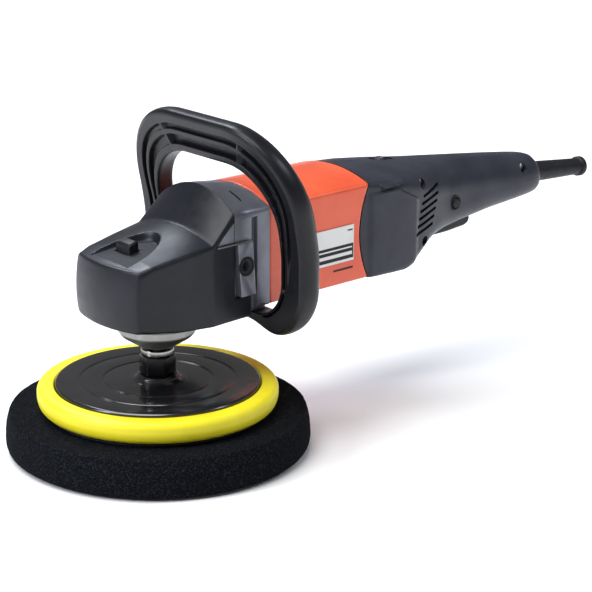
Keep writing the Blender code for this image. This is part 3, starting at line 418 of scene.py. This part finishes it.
def softened(node, body, width, limit=30, sharp=40):
    """Shell of the same shape as one part, with its edges rounded off."""
    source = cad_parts[node]
    mesh_data = bmesh.new()
    mesh_data.from_mesh(source.data)
    bmesh.ops.remove_doubles(mesh_data, verts=mesh_data.verts, dist=2e-6)
    bmesh.ops.dissolve_limit(mesh_data, angle_limit=math.radians(3), verts=mesh_data.verts,
                             edges=mesh_data.edges)
    bmesh.ops.scale(mesh_data, verts=mesh_data.verts, vec=(1 / MM, 1 / MM, 1 / MM))
    made = finish_piece(node + "_shell", mesh_data, body, source.data.materials[0].name, (node,), sharp)
    edge = made.modifiers.new("Rounded edges", "BEVEL")
    edge.width = width * MM
    edge.segments = 3
    edge.limit_method = "ANGLE"
    edge.angle_limit = math.radians(limit)
    settle(made, sharp)
    return made


def smoothstep(value):
    t = min(max(value, 0.0), 1.0)
    return t * t * (3 - 2 * t)


# ---------------------------------------------------------------- pad and disc

def build_pad():
    """Foam pad: slightly swollen side wall, torn-looking pores, soft edges."""
    outline = [(0, 0), (95.0, 0), (100.5, 1.6), (102.4, 6.5), (102.3, 13.0), (101.6, 20.0),
               (99.6, 26.6), (98.0, 27.0), (0, 27.0)]
    profile = []
    soft = eased(outline, 4.0, 5)
    for first, second in zip(soft, soft[1:] + soft[:1]):
        count = max(1, int((second - first).length / 1.3))
        profile += [first.lerp(second, k / count) for k in range(count)]
    mesh_data = turned_mesh(profile, steps=420)
    for vertex in mesh_data.verts:
        place = vertex.co
        radius = math.hypot(place.x, place.y)
        if radius < 1:
            continue
        cells = noise.noise(place * 0.55) * 0.30 + noise.noise(place * 1.7) * 0.22
        sag = noise.noise(place * 0.03) * 0.35
        outward = Vector((place.x, place.y, 0)) / radius
        on_side = smoothstep((radius - 96.0) / 4.0)
        vertex.co = place + outward * (min(cells, 0.1) + sag - 0.2) * on_side
        if place.z < 1.0:
            vertex.co.z = max(0.0, vertex.co.z + max(cells, 0.0) * 0.6)
        elif place.z > 26.5:
            vertex.co.z = min(27.0, vertex.co.z + min(cells, 0.0) * 0.6)
    pad = finish_piece("pad_of_foam", mesh_data, "spindle", "pad_foam", ("foam_pad",), 60)
    profile = eased([(0, 27.3), (75.0, 27.3), (75.0, 29.3), (0, 29.3)], 0.5)
    mesh_data = turned_mesh(profile, steps=160)
    finish_piece("hook_layer", mesh_data, "spindle", "hook_fabric", ("hook_disc",))


def build_backing():
    seat = 29.6
    rim = [(0, seat), (77.0, seat), (79.6, seat + 2.5), (80.7, seat + 6.5), (80.7, 41.5), (79.0, 44.3),
           (76.0, 45.0), (69.2, 45.0), (69.2, 38.0), (0, 38.0)]
    finish_piece("rim_ring", turned_mesh(eased(rim, 1.6, 6), steps=240), "spindle", "rim_yellow",
                 ("backing_rim",), 50)
    disc = [(7.3, 38.3), (68.6, 38.3), (68.6, 45.6), (67.4, 46.6), (53.2, 46.6), (52.6, 46.0),
            (51.2, 46.0), (50.6, 46.6), (37.4, 46.6), (36.8, 46.1), (35.6, 46.1), (35.0, 46.6),
            (19.5, 46.6), (18.6, 46.9), (17.0, 46.9), (14.2, 48.4), (14.2, 49.6), (12.8, 50.7), (7.3, 50.7)]
    finish_piece("disc_plate", turned_mesh(eased(disc, 0.5, 3), steps=220), "spindle", "disc_black",
                 ("backing_disc",), 50)
    softened("hub_nut", "spindle", 0.5)
    shaft = [(0, 41.0), (6.2, 41.0), (7.0, 41.8), (7.0, 65.0), (11.0, 65.0), (11.0, 68.5), (8.3, 69.5),
             (8.3, 115.0), (6.0, 116.0), (6.0, 133.4), (5.2, 134.2), (0, 134.2)]
    finish_piece("spindle_shaft", turned_mesh(eased(shaft, 0.35, 3), steps=96), "spindle",
                 "spindle_steel", ("spindle",))
    box = [(9.4, 71.0), (12.5, 71.0), (23.5, 78.0), (26.0, 81.0), (26.0, 88.0), (33.2, 88.0),
           (33.2, 91.4), (16.3, 91.4), (16.3, 79.0), (9.4, 79.0)]
    made = finish_piece("bearing_box_casting", turned_mesh(eased(box, 1.2, 5), steps=140), "housing",
                        "cast_silver", ("bearing_box",))
    tools = []
    for index in range(4):
        angle = math.radians(45 + 90 * index)
        place = (30.5 * math.cos(angle), 30.5 * math.sin(angle))
        tools.append(rod_tool("recess_%d" % index, 2.4, 87, 90.2, "Z", place, 20))
        tools.append(rod_tool("bore_%d" % index, 1.7, 90, 93, "Z", place, 20))
    carve(made, tools)


# ---------------------------------------------------------------- housing sections

def outline_half(section, wall, roof_steps=24, side_steps=16, corner_steps=6):
    """Half a section, bottom centre to top centre: (half_width, bottom, low, high, top, corner)."""
    half_width, bottom, low, high, top, corner = section
    w = half_width - wall
    bottom, low, high, top = bottom + wall, low + wall, high - wall, top - wall
    ease = max(corner - wall, 1.0)
    flat = w - ease

    def floor_at(y):
        return bottom + (low - bottom) * (y / w) ** 2

    def roof_at(y):
        return top - (top - high) * (y / w) ** 2

    points = [(flat * k / 12, floor_at(flat * k / 12)) for k in range(12)]
    for k in range(corner_steps + 1):
        t = k / corner_steps
        a, b, c = (flat, floor_at(flat)), (w, low), (w, low + ease)
        points.append(tuple(p * (1 - t) ** 2 + 2 * q * t * (1 - t) + r * t ** 2
                            for p, q, r in zip(a, b, c)))
    side = high - low - 2 * ease
    points += [(w, low + ease + side * k / side_steps) for k in range(1, side_steps)]
    for k in range(corner_steps + 1):
        t = k / corner_steps
        a, b, c = (w, high - ease), (w, high), (flat, roof_at(flat))
        points.append(tuple(p * (1 - t) ** 2 + 2 * q * t * (1 - t) + r * t ** 2
                            for p, q, r in zip(a, b, c)))
    points += [(flat * (1 - k / roof_steps), roof_at(flat * (1 - k / roof_steps)))
               for k in range(1, roof_steps + 1)]
    return points


def outline_full(section, wall=0.0, **steps):
    half = outline_half(section, wall, **steps)
    return half + [(-y, z) for y, z in reversed(half[1:-1])]


def section_at(sections, x, window=0.0):
    """Section between the listed ones, with the bends softened over a window along x."""
    spread = (0.0,) if window == 0 else (-window, -window / 2, 0.0, window / 2, window)
    total = [0.0] * 6
    for shift in spread:
        place = min(max(x + shift, sections[0][0]), sections[-1][0])
        for first, second in zip(sections, sections[1:]):
            if place <= second[0]:
                break
        share = (place - first[0]) / (second[0] - first[0])
        for k in range(6):
            total[k] += (first[k + 1] * (1 - share) + second[k + 1] * share) / len(spread)
    return tuple(total)


def seam_x(z):
    middle = (RIDGE_LOW + RIDGE_HIGH) / 2
    reach = (RIDGE_HIGH - RIDGE_LOW) / 2
    return SEAM_X - 8.5 * max(0.0, 1 - ((z - middle) / reach) ** 2)


# ---------------------------------------------------------------- head

COVER = ((-30.0, 34.6, 91.6, 92.6, 137.2, 139.4, 2.6), (-8.0, 37.2, 88.6, 89.6, 140.4, 145.4, 2.4),
         (16.0, 39.4, 87.5, 88.5, 143.6, 151.8, 2.0), (35.2, 38.2, 87.5, 88.5, 161.0, 175.2, 2.0),
         (49.5, 37.8, 87.5, 88.5, 161.0, 174.0, 2.0))
NOSE = (33.4, 93.0, 93.6, 135.4, 135.6, 4.0)
BUTTON_LOW = (-23.5, -2.0)
BUTTON_HIGH = (-16.0, 12.4)
BUTTON_GAP = 0.7
SLIT_X = 49.0
SOCKET_X = 44.0


def nose_x(y, z):
    bow = 5.5 * (y / 32.0) ** 2
    lean = 2.5 * (max(z - 112.0, 0.0) / 23.0) ** 2 + 2.0 * (max(112.0 - z, 0.0) / 19.0) ** 2
    return -47.5 + bow + lean


def scoop(x, y, z):
    """Height of the nose's top with the scoop pressed into it, and the slot round the button."""
    floor = 135.2 + 0.17 * (x + 38.5)
    if x < -34.5:
        inside = min(20.0 - abs(y), (x + 38.9) * 1.4)
    else:
        inside = (1.0 - math.hypot((x + 34.5) / 35.0, y / 20.0)) * 20.0
    if inside <= 0:
        return z
    wall = smoothstep(inside / 1.2)
    height = min(z, z * (1 - wall) + floor * wall)
    gap_x = max(BUTTON_LOW[0] - BUTTON_GAP - x, x - BUTTON_HIGH[0] - BUTTON_GAP)
    gap_y = max(BUTTON_LOW[1] - BUTTON_GAP - y, y - BUTTON_HIGH[1] - BUTTON_GAP)
    if max(gap_x, gap_y) < 0:
        height -= 3.2
    return height


def build_cover():
    dense = {"roof_steps": 56, "side_steps": 20}
    middle = (NOSE[2] + NOSE[3]) / 2
    mesh_data = bmesh.new()
    rings = []
    nose = outline_full(NOSE, **dense)
    for k in range(1, 12):
        share = 0.94 * k / 11
        ring = [(y * share, middle + (z - middle) * share) for y, z in nose]
        rings.append([Vector((nose_x(y, z), y, z)) for y, z in ring])
    for k in range(1, 7):
        turn = math.radians(15 * k)
        share = 0.94 + 0.06 * math.sin(turn)
        ring = [(y * share, middle + (z - middle) * share) for y, z in nose]
        rings.append([Vector((nose_x(y, z) + 2.2 * (1 - math.cos(turn)), y, z)) for y, z in ring])
    rear = outline_full(COVER[0][1:], **dense)
    for k in range(1, 21):
        share = k / 20
        ring = []
        for (y0, z0), (y1, z1) in zip(nose, rear):
            x = (nose_x(y0, z0) + 2.2) * (1 - share) - 30.0 * share
            ring.append(Vector((x, y0 + (y1 - y0) * share, z0 + (z1 - z0) * share)))
        rings.append(ring)
    x = -30.0
    while x < 49.4:
        x = min(x + 0.65, 49.5)
        section = section_at(COVER, x, 1.2 if 2 < x < 34 else 0.0)
        rings.append([Vector((x, y, z)) for y, z in outline_full(section, **dense)])
    for ring in rings:
        for point in ring:
            if point.z > 133 and -40 < point.x < 2 and abs(point.y) < 21:
                point.z = scoop(point.x, point.y, point.z)
    inner = [[Vector((-41.0 + 5.5 * (y / 32.0) ** 2, y, z)) for y, z in outline_full(NOSE, 5.5, **dense)]]
    for section in COVER:
        inner.append([Vector((section[0], y, z)) for y, z in outline_full(section[1:], 5.5, **dense)])
    outer_verts = [[mesh_data.verts.new(point) for point in ring] for ring in rings]
    inner_verts = [[mesh_data.verts.new(point) for point in ring] for ring in inner]
    bridge(mesh_data, outer_verts)
    bridge(mesh_data, inner_verts)
    bridge(mesh_data, [outer_verts[-1], inner_verts[-1]])
    mesh_data.faces.new(outer_verts[0])
    mesh_data.faces.new(inner_verts[0])
    cover = finish_piece("nose_cover", mesh_data, "housing", "head_plastic", ("head_cover",), 38)
    window = [(19.0, 141.8), (35.0, 141.8), (35.0, 158.0)]
    carve(cover, [box_tool("rear_opening", (35.2, -60, 103.3), (60, 60, 190)),
                  tool("window_near", window, -50, -33.0, "Y"),
                  tool("window_far", window, 33.0, 50, "Y"),
                  rod_tool("spindle_opening", 33.6, 80, 100, "Z", (0, 0), 96)], 38)
    softened("spindle_lock_button", "spindle_lock", 0.5)


def build_gear_housing():
    casting = softened("gear_housing", "housing", 0.6, 34, 36)
    bpy.context.view_layer.update()
    # Painted shade: a thin black strip laid on the casting roof stands in for the dark inside of the roof
    # slit; it is not a seal.
    mesh_data = bmesh.new()
    rings = []
    for k in range(13):
        y = 16.5 + k
        above = Vector((SLIT_X, -y, 300.0)) * MM
        roof = casting.ray_cast(above, Vector((0, 0, -1)))[1].z / MM
        half = 0.8 * math.sqrt(max(1 - ((k - 6) / 6.4) ** 4, 0.0))
        rings.append([mesh_data.verts.new((SLIT_X + a * half, -y, roof + b))
                      for a, b in ((-1, -0.5), (1, -0.5), (1, 0.15), (-1, 0.15))])
    bridge(mesh_data, rings)
    mesh_data.faces.new(rings[0])
    mesh_data.faces.new(rings[-1])
    finish_piece("roof_slit_painted_shade", mesh_data, "housing", "button_black")
    # Painted highlight: thin raised silver strips along the ledge show the bright lit edge of the ledge
    # under each window.
    highlight_strips = [((19.5, low, 141.3), (49.4, high, 142.1)) for low, high in ((-40.2, -38.4), (38.4, 40.2))]
    small_blocks("ledge_painted_highlight", highlight_strips, "housing", "cast_silver", 0.3)
    for label, side in (("near", -1), ("far", 1)):
        flat, proud = side * 39.9, side * 40.45
        ring = eased([(4.3, flat), (6.6, flat), (6.6, proud), (4.3, proud)], 0.15, 2)
        finish_piece("socket_ring_" + label, turned_mesh(ring, "Y", (SOCKET_X, MOTOR_Z), 64), "housing",
                     "button_black")


# ---------------------------------------------------------------- motor housing

CASE_FRONT = 66.3


def motor_section(x):
    share = (x - 66.0) / 91.0
    return (38.0, 90.5, RIDGE_LOW, RIDGE_HIGH, 170.4 - 2.2 * share, 2.5)


def build_motor():
    mesh_data = bmesh.new()
    skins = []
    stations = [(0.0, 0.7), (0.003, 0.2), (0.008, 0.0)]
    stations += [(k / 40, 0.0) for k in range(1, 40)]
    stations += [(0.992, 0.0), (0.997, 0.2), (1.0, 0.7)]
    for wall in (0.0, SHELL_WALL):
        rings = []
        for share, inset in stations:
            ring = []
            eased_wall = wall if wall else inset
            for y, z in outline_full(motor_section(CASE_FRONT + 90.0 * share), eased_wall):
                x = CASE_FRONT * (1 - share) + (seam_x(z) - 0.3) * share
                ring.append(mesh_data.verts.new((x, y, z)))
            rings.append(ring)
        skins.append(rings)
        bridge(mesh_data, rings)
    bridge(mesh_data, [skins[0][0], skins[1][0]])
    bridge(mesh_data, [skins[0][-1], skins[1][-1]])
    finish_piece("motor_case", mesh_data, "housing", "housing_orange", ("motor_housing",), 40)


def small_blocks(name, blocks, body, slot, bevel=0.15):
    """Several small rounded blocks in one mesh."""
    mesh_data = bmesh.new()
    for low, high in blocks:
        made = bmesh.ops.create_cube(mesh_data, size=1.0)
        size = Vector(high) - Vector(low)
        centre = (Vector(high) + Vector(low)) / 2
        for vertex in made["verts"]:
            vertex.co = Vector((vertex.co.x * size.x, vertex.co.y * size.y, vertex.co.z * size.z)) + centre
    bmesh.ops.bevel(mesh_data, geom=mesh_data.edges[:], offset=bevel, segments=2, affect="EDGES")
    return finish_piece(name, mesh_data, body, slot)


def build_label():
    """Blank rating plate: white strip, dark strip with plain bars, one thin line underneath."""
    plate = small_blocks("plate_blank", [((104.0, -38.95, 110.0), (142.0, -38.35, 135.5))], "housing",
                         "plate_white")
    dark = [((104.6, -39.1, 112.0), (141.4, -38.8, 122.4)), ((136.0, -39.1, 131.6), (140.6, -38.8, 132.6))]
    small_blocks("plate_bars_dark", dark, "housing", "button_black", 0.05)
    light = [((106.0, -39.25, 119.4), (140.0, -38.95, 120.4)),
             ((106.0, -39.25, 114.6), (140.0, -38.95, 117.0))]
    small_blocks("plate_bars_light", light, "housing", "plate_white", 0.05)
    line = [((124.0, -38.3, 104.2), (142.0, -37.9, 105.4))]
    small_blocks("case_line", line, "housing", "button_black", 0.05)
    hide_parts("rating_plate")


# ---------------------------------------------------------------- rear handle

HANDLE = ((157.0, 38.0, 90.5, 94.0, 161.0, 168.2, 2.5), (176.0, 38.0, 89.4, 92.6, 158.6, 167.2, 3.5),
          (200.0, 37.2, 88.6, 91.2, 154.2, 164.6, 6.0), (214.0, 34.6, 95.0, 98.6, 150.6, 162.8, 8.0),
          (230.0, 30.0, 102.6, 106.0, 147.0, 160.8, 10.0), (250.0, 24.6, 104.8, 108.6, 145.6, 158.4, 11.5),
          (275.0, 21.0, 106.4, 110.2, 144.4, 155.2, 12.5), (305.0, 19.2, 109.2, 112.4, 142.6, 151.2, 13.0),
          (337.0, 18.4, 111.4, 114.0, 139.8, 146.6, 13.0), (354.0, 17.0, 112.6, 115.0, 138.2, 143.8, 12.0),
          (359.0, 14.6, 114.0, 116.0, 136.4, 141.2, 10.8),
          (HANDLE_END, 11.6, 116.4, 117.6, 134.4, 138.2, 9.0))
GUARD_HOLE = (8.7, 118.5, 118.6, 135.8, 135.9, 8.2)
GUARD_FADE_X = 350.0
SCREW_PLACES = ((215.0, 149.5, 31.0), (217.0, 107.5, 32.0), (338.5, 136.8, 15.6))
LOCK_ON_PLACE = (257.0, 126.5)


def panel_relief(x, z):
    """Raised side panel with a stepped upper edge and a short bar over it."""
    if x < 187:
        edge = 152.8
    else:
        edge = 151.4 - (x - 187.0) * 0.5
    panel = smoothstep((edge - z) / 0.7 + 0.5) * smoothstep((209.0 - x) / 6.0)
    along = smoothstep((x - 167.5) / 1.0) * smoothstep((191.5 - x) / 1.0)
    bar = along * smoothstep((1.5 - abs(z - 156.4)) / 0.6)
    shade = along * smoothstep((0.9 - abs(z - 153.9)) / 0.5)
    return 1.3 * panel + 1.7 * bar - 0.8 * shade


def handle_half(label, side):
    mesh_data = bmesh.new()
    rings = []
    places = [SEAM_X + (HANDLE_END - SEAM_X) * k / 190 for k in range(191)]
    steps = {"roof_steps": 20, "side_steps": 96, "corner_steps": 10}
    for x in places:
        window = min(6.0, x - SEAM_X, (HANDLE_END - x) * 0.5)
        inner_section = section_at(HANDLE, x, window)
        outer = outline_half(inner_section, 0.0, **steps)
        wall = SHELL_WALL
        if x > GUARD_FADE_X:
            share = (x - GUARD_FADE_X) / (HANDLE_END - GUARD_FADE_X)
            inner_section = tuple(a * (1 - share) + b * share for a, b in zip(inner_section, GUARD_HOLE))
            wall = SHELL_WALL * (1 - share)
        inner = outline_half(inner_section, wall, **steps)[::-1]
        ring = []
        fade = smoothstep((x - SEAM_X) / 20.0)
        for index, (y, z) in enumerate(outer + inner):
            place = (seam_x(z) + 0.3) * (1 - fade) + x * fade
            if index < len(outer) and y > 20 and x > 158.5 and x < 210:
                y += panel_relief(place, z) * smoothstep((place - 156.0) / 4.0)
            ring.append(mesh_data.verts.new((place, side * max(y, 0.15), z)))
        rings.append(ring)
    bridge(mesh_data, rings)
    for ring in (rings[0], rings[-1]):
        last = len(ring) - 1
        for i in range(len(ring) // 2 - 1):
            mesh_data.faces.new((ring[i], ring[i + 1], ring[last - i - 1], ring[last - i]))
    made = finish_piece("grip_" + label, mesh_data, "housing", "handle_plastic",
                        ("rear_handle_" + label,), 38)
    tools = vent_tools(label, side)
    tools.append(box_tool("trigger_slot", (236.5, -10.4, 90), (291.0, 10.4, 116)))
    tools.append(box_tool("dial_slot", (194.0, -4.2, 146.0), (214.0, 4.2, 175.0)))
    if side < 0:
        tools.append(rod_tool("lock_on_hole", 4.2, -37.3, -13.1, "Y", LOCK_ON_PLACE))
        for index, (x, z, reach) in enumerate(SCREW_PLACES):
            tools.append(rod_tool("screw_recess_%d" % index, 3.7, -50, -reach + 6.0, "Y", (x, z)))
    carve(made, tools, 38)


def vent_tools(label, side):
    made = []
    slant = math.radians(9.5)
    for index in range(6):
        centre = (225.0 - 1.8 * index, 143.0 - 5.3 * index)
        outline = []
        for k in range(16):
            turn = math.tau * k / 16
            a = math.copysign(10.5, math.cos(turn)) + 1.2 * math.cos(turn)
            b = 1.25 * math.sin(turn)
            outline.append((centre[0] + a * math.cos(slant) - b * math.sin(slant),
                            centre[1] + a * math.sin(slant) + b * math.cos(slant)))
        low, high = sorted((side * 20.0, side * 45.0))
        made.append(tool("vent_%s_%d" % (label, index), outline, low, high, "Y"))
    return made


def build_handle():
    handle_half("left", -1)
    handle_half("right", 1)
    for index, (x, z, reach) in enumerate(SCREW_PLACES):
        post = [(1.9, -reach + 6.0), (4.0, -reach + 6.0), (4.0, reach - 4.5), (1.9, reach - 4.5)]
        finish_piece("grip_post_%d" % index, turned_mesh(eased(post, 0.4, 2), "Y", (x, z), 40), "housing",
                     "handle_plastic")
    softened("trigger", "trigger", 0.8)
    softened("speed_dial", "speed_dial", 0.25)
    button = [(0, -25.6), (2.9, -25.6), (3.7, -24.8), (3.7, -12.5), (0, -12.5)]
    finish_piece("lock_on_cap", turned_mesh(eased(button, 0.5, 4), "Y", LOCK_ON_PLACE, 64), "lock_on_button",
                 "button_black", ("lock_on_button",))
    collar = [(4.2, -22.8), (5.6, -22.8), (5.6, -24.6), (4.2, -24.6)]
    finish_piece("lock_on_collar", turned_mesh(eased(collar, 0.4, 3), "Y", LOCK_ON_PLACE, 64), "housing",
                 "button_black")
    guard = [(4.6, 0), (10.5, 0), (10.5, 3.5), (7.9, 4.5), (7.9, 16.0), (6.3, 68.5), (7.6, 69.3),
             (7.6, 73.1), (6.8, 73.9), (4.6, 73.9)]
    mesh_data = turned_mesh(eased(guard, 0.6, 4), "X", (0, 0), 96)
    bmesh.ops.rotate(mesh_data, verts=mesh_data.verts, cent=(0, 0, 0),
                     matrix=Matrix.Rotation(math.radians(5.0), 3, "Y"))
    bmesh.ops.translate(mesh_data, verts=mesh_data.verts, vec=(HANDLE_END - 13.5, 0, 128.2))
    finish_piece("cord_sleeve", mesh_data, "housing", "guard_rubber", ("cord_guard",))


# ---------------------------------------------------------------- loop handle

LOOP_DEPTH = 20.5
LOOP_PROFILE = ((0.0, 1.6), (0.08, 0.0), (0.84, 0.0), (0.96, 2.5), (1.0, 9.0), (0.95, 14.6), (0.8, 18.8),
                (0.58, LOOP_DEPTH), (0.26, 17.6), (0.05, 14.0), (0.0, 11.0))
RIB_SIDE = 37.0
RIB_LOW_Z = 109.0
FOOT_SIDE = 46.0


def loop_path(half_width, top, bottom, top_radius, bottom_radius):
    """Rounded rectangle in (y, z) with evenly dealt points on corners and straights."""
    corners = ((half_width - top_radius, top - top_radius, top_radius, 90, 0),
               (half_width - bottom_radius, bottom + bottom_radius, bottom_radius, 0, -90),
               (-half_width + bottom_radius, bottom + bottom_radius, bottom_radius, -90, -180),
               (-half_width + top_radius, top - top_radius, top_radius, 180, 90))
    straights = (60, 90, 60, 60)
    arcs = []
    for y, z, radius, start, end in corners:
        arc = []
        for index in range(73):
            angle = math.radians(start + (end - start) * index / 72)
            arc.append(Vector((0, y + radius * math.cos(angle), z + radius * math.sin(angle))))
        arcs.append(arc)
    points = []
    for index, arc in enumerate(arcs):
        following = arcs[(index + 1) % 4][0]
        points += arc
        count = straights[index]
        points += [arc[-1].lerp(following, k / count) for k in range(1, count)]
    return points


def band(value, low, high, edge):
    return smoothstep((value - low) / edge) * smoothstep((high - value) / edge)


def channel_depth(share, y, z):
    """Moulded channels in the loop's front face, split by cross ribs."""
    side = abs(y)
    if z < RIB_LOW_Z and side < FOOT_SIDE:
        return 0.0
    if z > 150 and side < 56:
        run = RIB_SIDE - side
    elif z > 104:
        run = min(side - RIB_SIDE if z > 190 else math.inf, z - RIB_LOW_Z)
    else:
        run = min(RIB_LOW_Z - z, side - FOOT_SIDE)
    ends = smoothstep((abs(run) - 0.9) / 1.8)
    leg = smoothstep((192.0 - z) / 55.0)
    first = band(share, 0.17 - 0.08 * leg, 0.42 - 0.20 * leg, 0.035 + 0.01 * leg)
    second = band(share, 0.52 - 0.20 * leg, 0.68 - 0.15 * leg, 0.04)
    fade = 1.0 if z > 150 else smoothstep((z - 112.0) / 38.0)
    strength = 0.75 if side < RIB_SIDE and z > 190 else 1.0
    return ends * (3.8 * first + 3.4 * second * fade * strength)


def loop_outline():
    """Dense closed profile: (share of the section's width, depth behind the front face)."""
    points = [(0.08 + 0.76 * k / 62, 0.0) for k in range(62)]
    rest = [(0.72, 0.0)] + list(LOOP_PROFILE[2:]) + [LOOP_PROFILE[0], LOOP_PROFILE[1], (0.2, 0.0)]
    for index in range(1, len(rest) - 2):
        a, b, c, d = (Vector(rest[index + k]) for k in (-1, 0, 1, 2))
        for k in range(5):
            t = k / 5
            place = 0.5 * (2 * b + (c - a) * t + (2 * a - 5 * b + 4 * c - d) * t * t
                           + (3 * b - a - 3 * c + d) * t ** 3)
            points.append((min(max(place.x, 0.0), 1.0), min(max(place.y, 0.0), LOOP_DEPTH)))
    return points


def build_loop():
    inner = loop_path(61.5, 191.0, 90.0, 41.0, 26.0)
    outer = loop_path(83.0, 220.5, 76.0, 56.0, 37.0)
    outline = loop_outline()
    mesh_data = bmesh.new()
    rings = []
    for near, far in zip(inner, outer):
        ring = []
        middle = near.lerp(far, 0.4)
        for share, depth in outline:
            point = near.lerp(far, share)
            arch = smoothstep((62.0 - abs(point.y)) / 34.0)
            point.z += 8.0 * arch * min(max((90.0 - point.z) / 14.0, 0.0), 1.0)
            if depth == 0.0:
                depth = channel_depth(share, middle.y, middle.z)
            point.x = 54.4 - 15.4 * (max(point.z - 130.0, 0.0) / 70.0) ** 1.5 + depth
            ring.append(mesh_data.verts.new(point))
        rings.append(ring)
    bridge(mesh_data, rings + [rings[0]])
    handle = finish_piece("loop_grip", mesh_data, "housing", "loop_plastic", ("loop_handle",), 50)
    tools = []
    for index, y in enumerate((-20.0, 20.0)):
        tools.append(rod_tool("bolt_hole_%d" % index, 3.3, 86, 99, "Z", (60.6, y), 32))
        tools.append(rod_tool("bolt_recess_%d" % index, 5.3, 60, 87.0, "Z", (60.6, y), 40))
    carve(handle, tools, 50)


build_materials()
build_stage()
build_pad()
build_backing()
build_cover()
build_gear_housing()
build_motor()
build_label()
build_handle()
build_loop()
